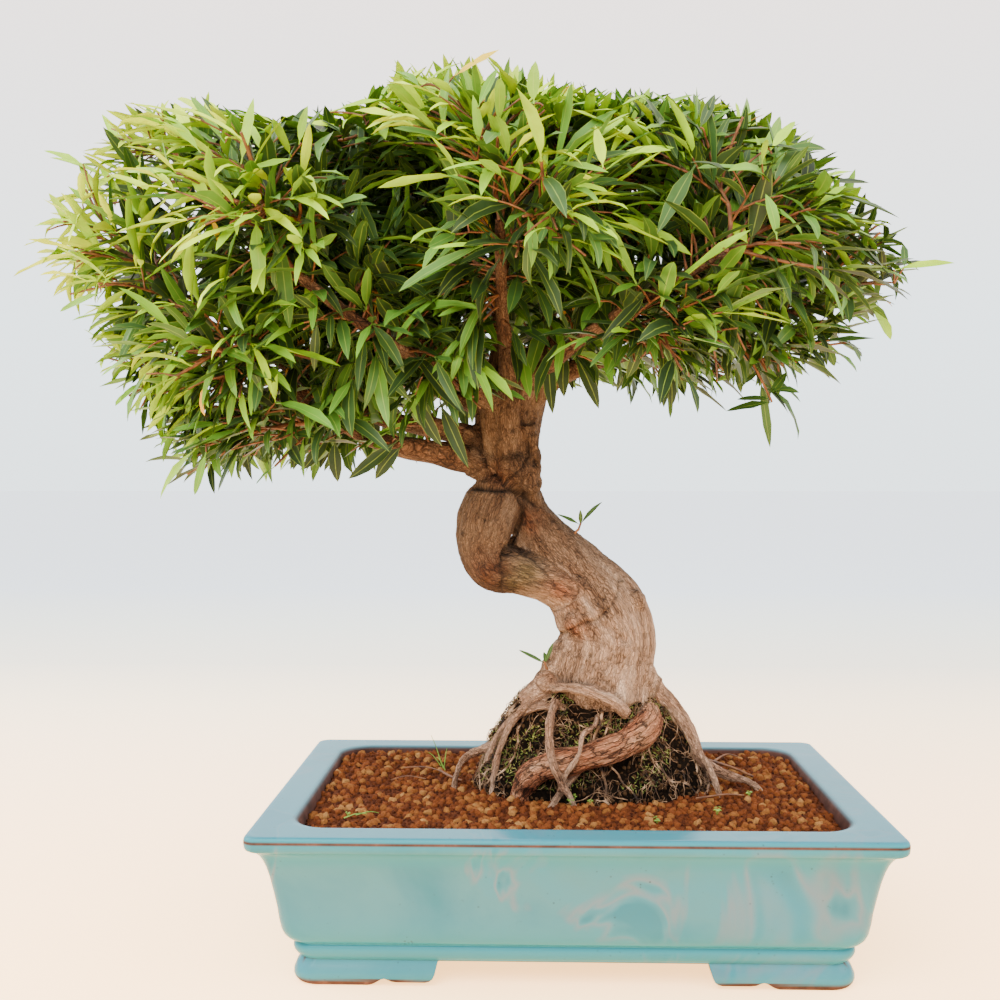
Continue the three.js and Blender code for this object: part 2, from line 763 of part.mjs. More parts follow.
function crownPoint(rise, turn, inset) {
  const [lift, round] = [THREE.MathUtils.degToRad(rise), THREE.MathUtils.degToRad(turn)];
  const rightness = (1 + Math.cos(round)) / 2;
  const left = lookUp(crownRise, crownLeft, rise) * (1 - rightness);
  const reach = left + lookUp(crownRise, crownRight, rise) * rightness;
  const low = 1 - crownFrontLow * Math.max(0, -Math.sin(round));
  const x = reach * Math.cos(lift) * Math.cos(round);
  const y = reach * Math.cos(lift) * Math.sin(round) * crownDepth;
  const offset = new THREE.Vector3(x, y, reach * Math.sin(lift) * low);
  return offset.setLength(offset.length() - inset).add(crownCentre);
}

function outwardAt(point) {
  return point.clone().sub(crownCentre).normalize();
}

// Places on the limbs where a stem can start, each with its limb's direction and thickness.
function stemStarts() {
  return limbs.flatMap(({ line, thick }) => {
    const curve = curveOf(line.map(vector));
    return stemPlaces.map((place) => ({
      at: curve.getPoint(place),
      along: curve.getTangent(place),
      radius: thick[0] + (thick[1] - thick[0]) * place,
      end: place === 1,
    }));
  });
}

// A stem leaves the best free place: about an ideal length away and not bent back along the limb.
function growStem(target, starts, seed) {
  const ranked = starts
    .map((start) => {
      const offset = target.clone().sub(start.at);
      const lean = offset.dot(start.along) / offset.length();
      const stray = Math.abs(offset.length() - stemIdeal);
      const bentBack = stemCosts.bentBack * Math.max(0, stemCosts.leastLean - lean);
      return { start, offset, cost: stray + bentBack - (start.end ? stemCosts.limbEnd : 0) };
    })
    .sort((a, b) => a.cost - b.cost);
  for (const { start, offset } of ranked) {
    const distance = offset.length();
    const low = start.at.clone().addScaledVector(offset, stemBend.low);
    const high = start.at.clone().addScaledVector(offset, stemBend.high);
    low.addScaledVector(start.along, stemBend.follow * distance);
    high.addScaledVector(up, stemBend.rise * distance);
    const line = [start.at, low, high, target];
    const thick = [Math.min(stemRadius.most, stemRadius.share * start.radius), stemRadius.tip];
    const stem = makeShoot(line, thick, draw(seed) * third, seed);
    const cover = beadsOfCurve(stem.curve, thick);
    if (start.used || !isClear(cover, "tree", start.at, beadsPassed.stem)) continue;
    for (const other of starts) other.used ||= other.at.distanceTo(start.at) < stemStartSpacing;
    keep(cover, seed);
    return stem;
  }
  return null;
}

// The directions that a bud can take, one face after another, first steep and then flatter.
function budHeadings(shoot, place, firstFace, spreads, pull) {
  const along = shoot.curve.getTangent(place);
  return spreads.flatMap((spread) =>
    [0, 1, 2].map((i) => {
      const face = (firstFace + i) % 3;
      const heading = along.clone().multiplyScalar(1 - spread);
      heading.addScaledVector(outFrom(shoot, place, faceAngle(shoot, face)), spread);
      return { face, heading: heading.addScaledVector(pull, outwardPull).normalize() };
    }),
  );
}

function leafAt(root, heading, seed) {
  const facing = up.clone().addScaledVector(outwardAt(root), facingTilt);
  return {
    root,
    heading,
    facing,
    length: leafLength.least + leafLength.range * draw(seed),
    width: leafWidth.least + leafWidth.range * draw(seed + 0.3),
    droop: leafDroop.least + leafDroop.range * draw(seed + 0.6),
  };
}

function growLeaf(shoot, place, firstFace, seed) {
  const root = shoot.curve.getPoint(place);
  for (const { face, heading } of budHeadings(shoot, place, firstFace, leafSpreads, outwardAt(root))) {
    const leaf = leafAt(root, heading, seed);
    const cover = beadsOfLeaf(leaf);
    if (!isClear(cover, shoot.owner, root, beadsPassed.leaf)) continue;
    keep(cover, shoot.owner);
    shoot.buds.push({ place, face, child: leaf });
    return;
  }
}

function growEndLeaf(shoot, seed) {
  const root = shoot.curve.getPoint(1);
  for (const lift of endLeafLifts) {
    const heading = shoot.curve.getTangent(1).addScaledVector(up, lift).normalize();
    const leaf = leafAt(root, heading, seed);
    const cover = beadsOfLeaf(leaf);
    if (!isClear(cover, shoot.owner, root, beadsPassed.leaf)) continue;
    keep(cover, shoot.owner);
    shoot.leaf = leaf;
    return;
  }
}

function growTwig(stem, place, firstFace, seed) {
  const root = stem.curve.getPoint(place);
  const outward = outwardAt(root);
  const share = twigLength.low - twigLength.taper * place;
  const length = (twigLength.least + twigLength.range * draw(seed)) * share;
  for (const { face, heading } of budHeadings(stem, place, firstFace, twigSpreads, outward)) {
    const middle = root.clone().addScaledVector(heading, length * 0.5);
    const end = root.clone().addScaledVector(heading, length).addScaledVector(outward, length * twigArch);
    const twig = makeShoot([root, middle, end], twigRadius, draw(seed + 0.4) * third, stem.owner);
    const cover = beadsOfCurve(twig.curve, twigRadius);
    if (!isClear(cover, stem.owner, root, beadsPassed.twig)) continue;
    keep(cover, stem.owner);
    stem.buds.push({ place, face, child: twig });
    growEndLeaf(twig, seed + 1);
    twigBuds.forEach((spot, i) => growLeaf(twig, spot, face + i, seed + 2 + i));
    return;
  }
}

// Twigs and leaves take turns up the stem, from its lower third to just under its end.
function growSpray(stem, seed) {
  const count = Math.max(2, Math.round((stem.curve.getLength() * (1 - stemBare)) / budSpacing));
  growEndLeaf(stem, seed);
  for (let i = 0; i < count; i++) {
    const place = stemBare + (stemLastBud - stemBare) * (i / (count - 1));
    const grow = (count - i) % 2 ? growTwig : growLeaf;
    grow(stem, place, i, seed + seeds.firstBud + i * seeds.budSpan);
  }
  prune(stem);
}

function growCrown() {
  for (const { line, thick } of limbs) keep(beadsOfCurve(curveOf(line.map(vector)), thick), "tree");
  for (const [x, y, z, radius] of [...trunkLine, ...loopLine]) {
    keep([{ at: vector([x, y, z]), radius }], "tree");
  }
  const starts = stemStarts();
  const targets = sprayRows.flatMap(({ rise, count, from, to, inset }) =>
    Array.from({ length: count }, (_, i) => crownPoint(rise, from + ((to - from) * i) / count, inset)),
  );
  const stems = targets.map((target, i) => growStem(target, starts, seeds.stem + i)).filter(Boolean);
  stems.forEach((stem, i) => growSpray(stem, seeds.spray + i * seeds.spraySpan));
  return stems;
}

// A small shoot on the trunk, with one leaf on its side and one at its end.
function trunkShoot({ line, leaves }) {
  const shoot = makeShoot(line.map(vector), [shootRadius, shootRadius * shootTaper], 0, "trunk");
  const [side, end] = leaves.map(({ heading, length }, i) => ({
    root: shoot.curve.getPoint(i ? 1 : shootBud),
    heading: vector(heading).normalize(),
    facing: shootFacing,
    length,
    width: shootLeafWidth,
    droop: leafDroop.least,
  }));
  const lean = (face) => outFrom(shoot, shootBud, faceAngle(shoot, face)).dot(side.heading);
  const face = [0, 1, 2].sort((a, b) => lean(b) - lean(a))[0];
  shoot.buds.push({ place: shootBud, face, child: side });
  shoot.leaf = end;
  return shoot;
}

const tree = makeTree();
const treeSeat = makeTree(fit);
const rootBall = largestBody(makeRootBall().subtract(treeSeat));
const soil = largestBody(makeSoil().subtract(makeRootBall(fit)).subtract(treeSeat));
const sprays = growCrown();

const bonsai = new THREE.Group();
bonsai.add(meshOf("pot", makePot(), glaze));
bonsai.add(meshOf("drain_screen_1", makeScreen(-drain.x), plasticBlack));
bonsai.add(meshOf("drain_screen_2", makeScreen(drain.x), plasticBlack));
bonsai.add(meshOf("soil", soil, clayGranules));
bonsai.add(meshOf("root_ball", rootBall, oldSoil));
bonsai.add(meshOf("tree", tree, bark));
for (const shoot of shoots) {
  const solid = largestBody(shootSolid(trunkShoot(shoot)).subtract(treeSeat));
  bonsai.add(meshOf(shoot.name, solid, grownLeaf));
}
sprays.forEach((stem, index) => {
  const end = stem.curve.getPoint(1);
  const young = end.z > youngAbove || end.x < youngLeftOf;
  const name = "spray_" + String(index + 1).padStart(2, "0");
  const solid = largestBody(shootSolid(stem).subtract(treeSeat));
  bonsai.add(meshOf(name, solid, young ? youngLeaf : grownLeaf));
});

// The origin is under the middle of the whole bonsai, as its crown reaches past the pot on one side.
const middle = new THREE.Box3().setFromObject(bonsai).getCenter(new THREE.Vector3());
bonsai.position.set(-middle.x, -middle.y, 0);

export default bonsai;
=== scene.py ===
import json
import math
import bmesh
import bpy
import numpy as np
from mathutils import Matrix, Vector, noise
from mathutils.bvhtree import BVHTree
from numpy.linalg import norm

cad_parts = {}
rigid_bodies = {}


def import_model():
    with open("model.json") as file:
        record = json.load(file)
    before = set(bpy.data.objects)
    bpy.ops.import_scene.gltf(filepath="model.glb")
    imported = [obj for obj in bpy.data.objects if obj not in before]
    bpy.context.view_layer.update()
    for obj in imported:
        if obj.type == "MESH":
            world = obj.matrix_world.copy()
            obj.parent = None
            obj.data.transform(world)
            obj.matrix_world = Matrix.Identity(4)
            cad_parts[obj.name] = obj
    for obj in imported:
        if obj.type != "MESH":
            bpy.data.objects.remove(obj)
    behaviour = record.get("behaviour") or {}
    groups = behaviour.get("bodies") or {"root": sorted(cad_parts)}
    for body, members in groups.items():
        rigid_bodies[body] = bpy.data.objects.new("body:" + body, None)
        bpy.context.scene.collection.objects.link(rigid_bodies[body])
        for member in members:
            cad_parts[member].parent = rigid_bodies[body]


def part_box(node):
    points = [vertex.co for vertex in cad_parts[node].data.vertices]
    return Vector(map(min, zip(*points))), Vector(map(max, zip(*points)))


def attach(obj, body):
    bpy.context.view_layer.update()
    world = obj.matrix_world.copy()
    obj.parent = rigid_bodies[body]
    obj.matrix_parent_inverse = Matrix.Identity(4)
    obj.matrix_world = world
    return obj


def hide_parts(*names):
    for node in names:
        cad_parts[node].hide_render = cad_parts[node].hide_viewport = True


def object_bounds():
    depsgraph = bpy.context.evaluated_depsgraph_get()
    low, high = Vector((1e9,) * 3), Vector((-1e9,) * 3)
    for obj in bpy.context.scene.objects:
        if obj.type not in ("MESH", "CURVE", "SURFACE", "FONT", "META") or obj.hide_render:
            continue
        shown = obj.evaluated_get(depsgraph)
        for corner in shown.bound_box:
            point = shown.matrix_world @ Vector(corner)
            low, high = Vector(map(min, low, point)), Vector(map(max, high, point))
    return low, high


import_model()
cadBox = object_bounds()

# Numbers below are millimetres from the middle of the pot's footprint, +Z up, front towards -Y.
mm = 0.001
potLow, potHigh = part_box("pot")
potMiddle = np.array([(potLow.x + potHigh.x) / 2, (potLow.y + potHigh.y) / 2, 0]) / mm
up = np.array([0.0, 0.0, 1.0])
third = 2 * math.pi / 3


def inMetres(points):
    return (np.asarray(points, float) + potMiddle) * mm


def shade(hexText):
    # sRGB hex to the linear colour that shaders use
    parts = [int(hexText[i:i + 2], 16) / 255 for i in (1, 3, 5)]
    return tuple(c / 12.92 if c <= 0.04045 else ((c + 0.055) / 1.055) ** 2.4 for c in parts) + (1.0,)


def outputOf(value):
    # a node stands for the first of its outputs that is in use
    if isinstance(value, bpy.types.Node):
        return next(socket for socket in value.outputs if socket.enabled)
    return value


def nodesIn(tree):
    def add(kind, inputs=None, ramp=(), **settings):
        made = tree.nodes.new(kind if "Node" in kind else "ShaderNode" + kind)
        for name, value in settings.items():
            setattr(made, name, value)
        stops = made.color_ramp.elements if ramp else []
        while len(stops) < len(ramp):
            stops.new(1.0)
        for stop, (spot, tone) in zip(stops, ramp):
            stop.position, stop.color = spot, shade(tone)
        for key, given in (inputs or {}).items():
            for value in given if isinstance(given, list) else [given]:
                value = outputOf(value)
                if isinstance(value, bpy.types.NodeSocket):
                    tree.links.new(value, made.inputs[key])
                else:
                    made.inputs[key].default_value = value
        return made
    return add


def newMaterial(name, **plain):
    # a material with constant values on its shader's own sockets
    material = bpy.data.materials.new(name)
    material.use_nodes = True
    shader = material.node_tree.nodes["Principled BSDF"]
    for key, value in plain.items():
        shader.inputs[key.replace("_", " ")].default_value = value
    return material, nodesIn(material.node_tree)


def feedShader(material, **sources):
    # what varies over the surface comes from nodes
    tree = material.node_tree
    for key, source in sources.items():
        socket = tree.nodes["Principled BSDF"].inputs[key.replace("_", " ")]
        tree.links.new(outputOf(source), socket)


def addObject(name, data):
    piece = bpy.data.objects.new(name, data)
    bpy.context.scene.collection.objects.link(piece)
    return piece


def keepOn(mesh, key, values, kind="FLOAT", domain="POINT"):
    # an attribute for the materials and node trees
    slot = "vector" if kind == "FLOAT_VECTOR" else "value"
    mesh.attributes.new(key, kind, domain).data.foreach_set(slot, np.ravel(values).tolist())


def pointsOf(mesh):
    # its vertices in millimetres, and their normals
    flat = np.empty(len(mesh.vertices) * 3)
    mesh.vertices.foreach_get("co", flat)
    points = flat.reshape(-1, 3) / mm - potMiddle
    mesh.vertex_normals.foreach_get("vector", flat)
    return points, flat.reshape(-1, 3)


def placeMesh(name, vertices, faces, smooth=True):
    # a mesh of millimetre points as an object in the frame's metres
    mesh = bpy.data.meshes.new(name)
    mesh.from_pydata(inMetres(vertices).tolist(), [], [list(map(int, f)) for f in faces])
    mesh.validate()
    piece = addObject(name, mesh)
    if smooth:
        mesh.polygons.foreach_set("use_smooth", [True] * len(mesh.polygons))
    return piece


def finishPiece(piece, slot, *nodes, material=None):
    if material:
        piece.data.materials.clear()
        piece.data.materials.append(material)
    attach(piece, "root")
    if nodes:
        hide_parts(*nodes)
    print("made", piece.name, len(piece.data.polygons), "faces")


def applyModifiers(piece):
    # the evaluated mesh becomes the piece's own plain mesh
    depsgraph = bpy.context.evaluated_depsgraph_get()
    evaluated = piece.evaluated_get(depsgraph)
    mesh = bpy.data.meshes.new_from_object(evaluated, preserve_all_data_layers=True, depsgraph=depsgraph)
    piece.modifiers.clear()
    if piece.type == "MESH":
        piece.data = mesh
        return piece
    plain = addObject(piece.name + "_mesh", mesh)
    name = piece.name
    bpy.data.objects.remove(piece)
    plain.name = name
    return plain


def runNodes(piece, tree, **values):
    # a Geometry Nodes tree on a piece, its inputs set by identifier before it is first evaluated
    modifier = piece.modifiers.new("nodes", "NODES")
    modifier.node_group = tree
    for socket in tree.interface.items_tree:
        if socket.name in values:
            modifier[socket.identifier] = values[socket.name]
    return applyModifiers(piece)


def newNodeGroup(name, **inputs):
    # a Geometry Nodes group with a geometry way through and named inputs with their first values
    kinds = {float: "NodeSocketFloat", int: "NodeSocketInt", bpy.types.Material: "NodeSocketMaterial",
             bpy.types.Collection: "NodeSocketCollection"}
    tree = bpy.data.node_groups.new(name, "GeometryNodeTree")
    tree.interface.new_socket("Geometry", in_out="INPUT", socket_type="NodeSocketGeometry")
    for key, value in inputs.items():
        kind = value if isinstance(value, type) else type(value)
        made = tree.interface.new_socket(key, in_out="INPUT", socket_type=kinds[kind])
        if not isinstance(value, type):
            made.default_value = value
    tree.interface.new_socket("Geometry", in_out="OUTPUT", socket_type="NodeSocketGeometry")
    return tree, nodesIn(tree), tree.nodes.new("NodeGroupInput").outputs


# realised, so that no instances are left, and given its material
def finishNodeGroup(add, geometry, material):
    # realised and given its material, because the export drops instances
    real = add("GeometryNodeRealizeInstances", {0: geometry})
    add("NodeGroupOutput", {0: add("GeometryNodeSetMaterial", {"Geometry": real, "Material": material})})


# growth: curves and draws as the solid model has them


def drawAt(number):
    wave = math.sin(number * 127.1 + 311.7) * 43758.5453
    return wave - math.floor(wave)


def shareOver(value, start, length, least=0):
    # how far along a span a value is
    return np.clip((value - start) / length, least, 1)


def unit(vector):
    return vector / norm(vector)


def curveOf(points):
    p = np.array(points, float)[:, :3]
    return np.vstack([2 * p[0] - p[1], p, 2 * p[-1] - p[-2]])


def pointOn(curve, place):
    t = np.clip(np.asarray(place, float), 0, 1) * (len(curve) - 3)
    low = np.minimum(np.floor(t).astype(int), len(curve) - 4)
    w = (t - low)[..., None]
    a, b, c, d = (curve[low + k] for k in range(4))
    start, end = (c - a) / 2, (d - b) / 2
    return b + start * w + (3 * (c - b) - 2 * start - end) * w ** 2 + (2 * (b - c) + start + end) * w ** 3


def alongOf(curve, place):
    step = 1e-4
    ahead = pointOn(curve, np.minimum(place + step, 1)) - pointOn(curve, np.maximum(place - step, 0))
    return ahead / norm(ahead, axis=-1, keepdims=True)


def lengthOf(curve):
    return float(norm(np.diff(pointOn(curve, np.linspace(0, 1, 201)), axis=0), axis=1).sum())


limbLines = [
    ([[-45, 10, 320], [-87, 2, 331], [-134, -10, 341], [-179, -25, 368], [-225, -40, 400]], 8, 3.6),
    ([[-45, 13, 336], [-90, 12, 349], [-132, 15, 357], [-175, 24, 376], [-230, 38, 412]], 7, 3.4),
    ([[-46, 22, 360], [-90, 50, 377], [-140, 90, 402], [-185, 120, 432]], 6.5, 3),
    ([[-46, 4, 364], [-85, -40, 385], [-130, -85, 410], [-170, -115, 440]], 6, 3),
    ([[-46, 15, 376], [-49, 15, 432], [-51, 15, 475], [-55, 12, 515], [-52, 10, 545]], 6.4, 2.8),
    ([[-50, 17, 378], [-66, 20, 405], [-78, 22, 455], [-110, 25, 505], [-150, 20, 530]], 5, 2.8),
    ([[-50, 12, 370], [-100, 5, 408], [-160, 0, 452], [-215, -5, 487], [-250, -10, 503]], 6, 3),
    ([[-34, 12, 380], [-16, 2, 422], [5, -22, 468], [25, -50, 510]], 5.8, 2.8),
    ([[-30, 18, 380], [-7, 25, 420], [25, 40, 460], [60, 55, 495], [85, 60, 515]], 7.5, 3),
    ([[-30, 12, 376], [9, 5, 393], [56, 0, 406], [100, -5, 415], [150, -10, 427], [195, -15, 440]], 7, 3),
    ([[-32, 4, 378], [5, -45, 405], [45, -90, 427], [90, -120, 450]], 5.6, 3),
    ([[-32, 26, 378], [10, 75, 410], [60, 110, 435], [110, 130, 455]], 6, 3),
    ([[-40, 2, 380], [-45, -50, 418], [-45, -92, 448], [-45, -122, 470]], 5.2, 2.8),
    ([[-40, 30, 376], [-50, 85, 410], [-55, 130, 445]], 5.4, 3),
]
trunkLine = [
    [22, 17, 144, 27], [22, 16, 163, 39], [27, 15, 184, 34], [28, 15, 203, 33], [19, 15, 223, 32],
    [2, 16, 246, 25], [-16, 18, 266, 18], [-28, 19, 286, 15], [-36, 16, 303, 15], [-41, 15, 320, 19],
    [-42, 15, 338, 22], [-43, 15, 356, 24], [-41, 15, 374, 25], [-40, 15, 386, 23],
]
loopLine = [
    [14, 7, 230, 20], [-12, 4, 240, 13], [-37, 1, 244, 14], [-54, 0, 254, 16.5],
    [-60, 0, 272, 19], [-57, 1, 290, 19], [-50, 6, 305, 15], [-43, 12, 317, 12],
]
crown = {
    "centre": np.array([-57.0, 10.0, 450.0]),
    "rise": [-60, -45, -30, -15, 0, 15, 30, 45, 60, 90],
    "left": [152, 195, 283, 287, 318, 322, 275, 190, 172, 165],
    "right": [93, 113, 160, 245, 308, 275, 243, 195, 166, 165],
    "depth": 0.66,
    "frontLow": 0.1,
    # rise, count, first and last turn in degrees, inset
    "rows": [(80, 3, 20, 380, 68), (56, 5, 0, 360, 62), (38, 7, 26, 386, 54), (23, 8, 0, 360, 44),
             (6, 9, 0, 360, 38), (-14, 7, -55, 270, 40), (-31, 3, 135, 255, 44)],
}
growth = {
    "stemIdeal": 70, "stemSpacing": 13, "stemMost": 3.2, "stemShare": 0.8, "stemTip": 1.5,
    "bentBack": 90, "leastLean": 0.5, "limbEnd": 40, "low": 0.28, "follow": 0.1, "high": 0.66, "lift": 0.05,
    "bare": 0.3, "lastBud": 0.93, "budSpacing": 15,
    "twigLeast": 38, "twigRange": 20, "twigLow": 1.2, "twigTaper": 0.7, "twigArch": 0.12,
    "twigThick": (1.4, 1.1), "twigBuds": (0.42, 0.67, 0.92),
    "leafLeast": 42, "leafRange": 19, "widthLeast": 9.5, "widthRange": 2.5,
    "droopLeast": 0.06, "droopRange": 0.12, "facingTilt": 0.35,
    "twigSpreads": (0.55, 0.4), "leafSpreads": (0.62, 0.42), "endLifts": (0.1, -0.35, 0.5), "pull": 0.15,
    "beadSpacing": 7, "beadMargin": 0.8, "passedStem": 26, "passedTwig": 12, "passedLeaf": 14,
}
leafBeads = [(0.1, 0.6), (0.22, 1.25), (0.37, 1.2), (0.52, 1.15), (0.67, 1.05), (0.82, 0.8), (0.97, 0.5)]
beads = {"at": np.zeros((0, 3)), "radius": np.zeros(0), "owner": np.zeros(0, int)}
treeOwner = -1


def isClear(cover, owner, start, passed):
    # whether a new piece's balls keep off all others, those of what it grows on near its start aside
    at, radius = cover
    apart = norm(at[:, None] - beads["at"][None], axis=2)
    tooNear = apart <= radius[:, None] + beads["radius"][None] + growth["beadMargin"]
    own = (beads["owner"] == owner) & (norm(beads["at"] - start, axis=1) < passed)
    return not (tooNear & ~own[None]).any()


def keepBeads(cover, owner):
    beads["at"] = np.vstack([beads["at"], cover[0]])
    beads["radius"] = np.append(beads["radius"], cover[1])
    beads["owner"] = np.append(beads["owner"], np.full(len(cover[1]), owner))


def beadsOfCurve(curve, thick):
    count = max(2, math.ceil(lengthOf(curve) / growth["beadSpacing"]))
    place = np.arange(count + 1) / count
    return pointOn(curve, place), thick[0] + (thick[1] - thick[0]) * place + 1


def leafPoint(leaf, share):
    side = unit(np.cross(leaf["facing"], leaf["heading"]))
    above = np.cross(leaf["heading"], side)
    point = leaf["root"] + leaf["heading"] * leaf["length"] * share
    return point - above * leaf["droop"] * leaf["length"] * share * share


def beadsOfLeaf(leaf):
    at = np.array([leafPoint(leaf, share) for share, size in leafBeads])
    return at, np.array([leaf["width"] / 2 * size for share, size in leafBeads])


def makeShoot(points, thick, turn, owner):
    chord = unit(np.subtract(points[-1], points[0]))
    level = np.eye(3)[np.argmin(np.abs(chord))]
    return {"curve": curveOf(points), "thick": thick, "turn": turn, "owner": owner, "level": level,
            "leaves": [], "twigs": []}


def outFrom(shoot, place, angle):
    along = alongOf(shoot["curve"], place)
    side = unit(np.cross(along, shoot["level"]))
    return side * math.cos(angle) + np.cross(along, side) * math.sin(angle)


def crownReach(rise, rightness):
    left, right = (np.interp(rise, crown["rise"], crown[key]) for key in ("left", "right"))
    return left * (1 - rightness) + right * rightness


def crownPoint(rise, turn, inset):
    lift, around = math.radians(rise), math.radians(turn)
    reach = crownReach(rise, (1 + math.cos(around)) / 2)
    low = 1 - crown["frontLow"] * max(0, -math.sin(around))
    offset = reach * np.array([math.cos(lift) * math.cos(around),
                               math.cos(lift) * math.sin(around) * crown["depth"], math.sin(lift) * low])
    length = norm(offset)
    return crown["centre"] + offset * (length - inset) / length


def outsideCrown(points):
    # how far points lie outside the crown's rounded shape, below 0 inside it
    offset = np.atleast_2d(points) - crown["centre"]
    around = np.arctan2(offset[:, 1] / crown["depth"], offset[:, 0])
    high = offset[:, 2] / (1 - crown["frontLow"] * np.maximum(0, -np.sin(around)))
    flat = np.hypot(offset[:, 0], offset[:, 1] / crown["depth"])
    rise = np.degrees(np.arctan2(high, flat))
    reach = crownReach(rise, (1 + np.cos(around)) / 2)
    return norm(offset, axis=1) * (1 - reach / np.hypot(flat, high))


def outwardAt(point):
    return unit(point - crown["centre"])


def stemStarts():
    starts = []
    for line, first, last in limbLines:
        curve = curveOf(line)
        for step in range(16):
            place = 0.25 + 0.05 * step
            starts.append({"at": pointOn(curve, place), "along": alongOf(curve, place), "end": step == 15,
                           "radius": first + (last - first) * place, "used": False})
    return starts


def growStem(target, starts, seed):
    def cost(start):
        offset = target - start["at"]
        length = norm(offset)
        lean = offset @ start["along"] / length
        bentBack = growth["bentBack"] * max(0, growth["leastLean"] - lean)
        return abs(length - growth["stemIdeal"]) + bentBack - growth["limbEnd"] * start["end"]

    for start in sorted(starts, key=cost):
        offset = target - start["at"]
        distance = norm(offset)
        low = start["at"] + offset * growth["low"] + start["along"] * growth["follow"] * distance
        high = start["at"] + offset * growth["high"] + up * growth["lift"] * distance
        thick = (min(growth["stemMost"], growth["stemShare"] * start["radius"]), growth["stemTip"])
        stem = makeShoot([start["at"], low, high, target], thick, drawAt(seed) * third, seed)
        cover = beadsOfCurve(stem["curve"], thick)
        if start["used"] or not isClear(cover, treeOwner, start["at"], growth["passedStem"]):
            continue
        for other in starts:
            other["used"] |= norm(other["at"] - start["at"]) < growth["stemSpacing"]
        keepBeads(cover, seed)
        return stem
    return None


def budHeadings(shoot, place, firstFace, spreads, pull):
    along = alongOf(shoot["curve"], place)
    for spread in spreads:
        for step in range(3):
            face = (firstFace + step) % 3
            out = outFrom(shoot, place, shoot["turn"] + (face + 0.5) * third)
            yield face, unit(along * (1 - spread) + out * spread + pull * growth["pull"])


def leafAt(root, heading, seed):
    return {"root": root, "heading": heading, "facing": up + outwardAt(root) * growth["facingTilt"],
            "length": growth["leafLeast"] + growth["leafRange"] * drawAt(seed),
            "width": growth["widthLeast"] + growth["widthRange"] * drawAt(seed + 0.3),
            "droop": growth["droopLeast"] + growth["droopRange"] * drawAt(seed + 0.6)}


def tryLeaf(shoot, root, headings, seed):
    for heading in headings:
        leaf = leafAt(root, heading, seed)
        cover = beadsOfLeaf(leaf)
        if isClear(cover, shoot["owner"], root, growth["passedLeaf"]):
            keepBeads(cover, shoot["owner"])
            shoot["leaves"].append(leaf)
            return


def growLeaf(shoot, place, firstFace, seed):
    root = pointOn(shoot["curve"], place)
    buds = budHeadings(shoot, place, firstFace, growth["leafSpreads"], outwardAt(root))
    tryLeaf(shoot, root, (heading for face, heading in buds), seed)


def growEndLeaf(shoot, seed):
    along = alongOf(shoot["curve"], 1.0)
    tryLeaf(shoot, pointOn(shoot["curve"], 1.0), (unit(along + up * lift) for lift in growth["endLifts"]),
            seed)


def growTwig(stem, place, firstFace, seed):
    root = pointOn(stem["curve"], place)
    outward = outwardAt(root)
    length = growth["twigLeast"] + growth["twigRange"] * drawAt(seed)
    length *= growth["twigLow"] - growth["twigTaper"] * place
    for face, heading in budHeadings(stem, place, firstFace, growth["twigSpreads"], outward):
        end = root + heading * length + outward * length * growth["twigArch"]
        turn = drawAt(seed + 0.4) * third
        twig = makeShoot([root, root + heading * length * 0.5, end], growth["twigThick"], turn, stem["owner"])
        cover = beadsOfCurve(twig["curve"], growth["twigThick"])
        if not isClear(cover, stem["owner"], root, growth["passedTwig"]):
            continue
        keepBeads(cover, stem["owner"])
        stem["twigs"].append(twig)
        growEndLeaf(twig, seed + 1)
        for step, spot in enumerate(growth["twigBuds"]):
            growLeaf(twig, spot, face + step, seed + 2 + step)
        return


def growSpray(stem, seed):
    free = lengthOf(stem["curve"]) * (1 - growth["bare"])
    count = max(2, math.floor(free / growth["budSpacing"] + 0.5))
    growEndLeaf(stem, seed)
    for step in range(count):
        place = growth["bare"] + (growth["lastBud"] - growth["bare"]) * (step / (count - 1))
        grow = growTwig if (count - step) % 2 else growLeaf
        grow(stem, place, step, seed + 10 + step * 6)


def growCrown():
    # the same rule and draws as the solid model, so each spray stands where its solid does
    for line, first, last in limbLines:
        keepBeads(beadsOfCurve(curveOf(line), (first, last)), treeOwner)
    for x, y, z, radius in trunkLine + loopLine:
        keepBeads((np.array([[x, y, z]], float), np.array([radius], float)), treeOwner)
    starts = stemStarts()
    targets = [crownPoint(rise, first + (last - first) * step / count, inset)
               for rise, count, first, last, inset in crown["rows"] for step in range(count)]
    stems = [growStem(target, starts, 900 + i) for i, target in enumerate(targets)]
    stems = [stem for stem in stems if stem]
    for i, stem in enumerate(stems):
        growSpray(stem, 1000 + i * 100)
    print("grown", len(stems), "sprays")
    return stems


# Stoneware under a turquoise glaze: glossy, grey-green on the flat walls and deeper where it pooled
# in grooves and runs, with a faint violet bloom and iron specks; the clay shows matt brown where
# attribute "bare" is 1, inside and along edges that the glaze left.
glazedStoneware, add = newMaterial("turquoise_glazed_stoneware", IOR=1.5, Specular_IOR_Level=0.1)
place = add("TexCoord").outputs["Object"]
bare = add("Attribute", attribute_name="bare").outputs["Fac"]
pooled = add("Attribute", attribute_name="pooled").outputs["Fac"]
patches = add("TexNoise", {"Vector": place, "Scale": 8, "Detail": 5, "Roughness": 0.55,
                           "Distortion": 0.6})
walls = add("ValToRGB", {0: patches}, ramp=[(0.3, "#22606f"), (0.45, "#336a79"), (0.56, "#3f727e"),
                                            (0.7, "#347488")])
thick = add("Mix", {0: pooled, 6: walls, 7: shade("#277484")}, data_type="RGBA")
runs = add("Mapping", {"Vector": place, "Scale": (1.0, 1.0, 0.55)})
flow = add("TexNoise", {"Vector": runs, "Scale": 13, "Detail": 3, "Distortion": 1.2})
flat = add("Math", {0: 1.0, 1: pooled}, operation="SUBTRACT")
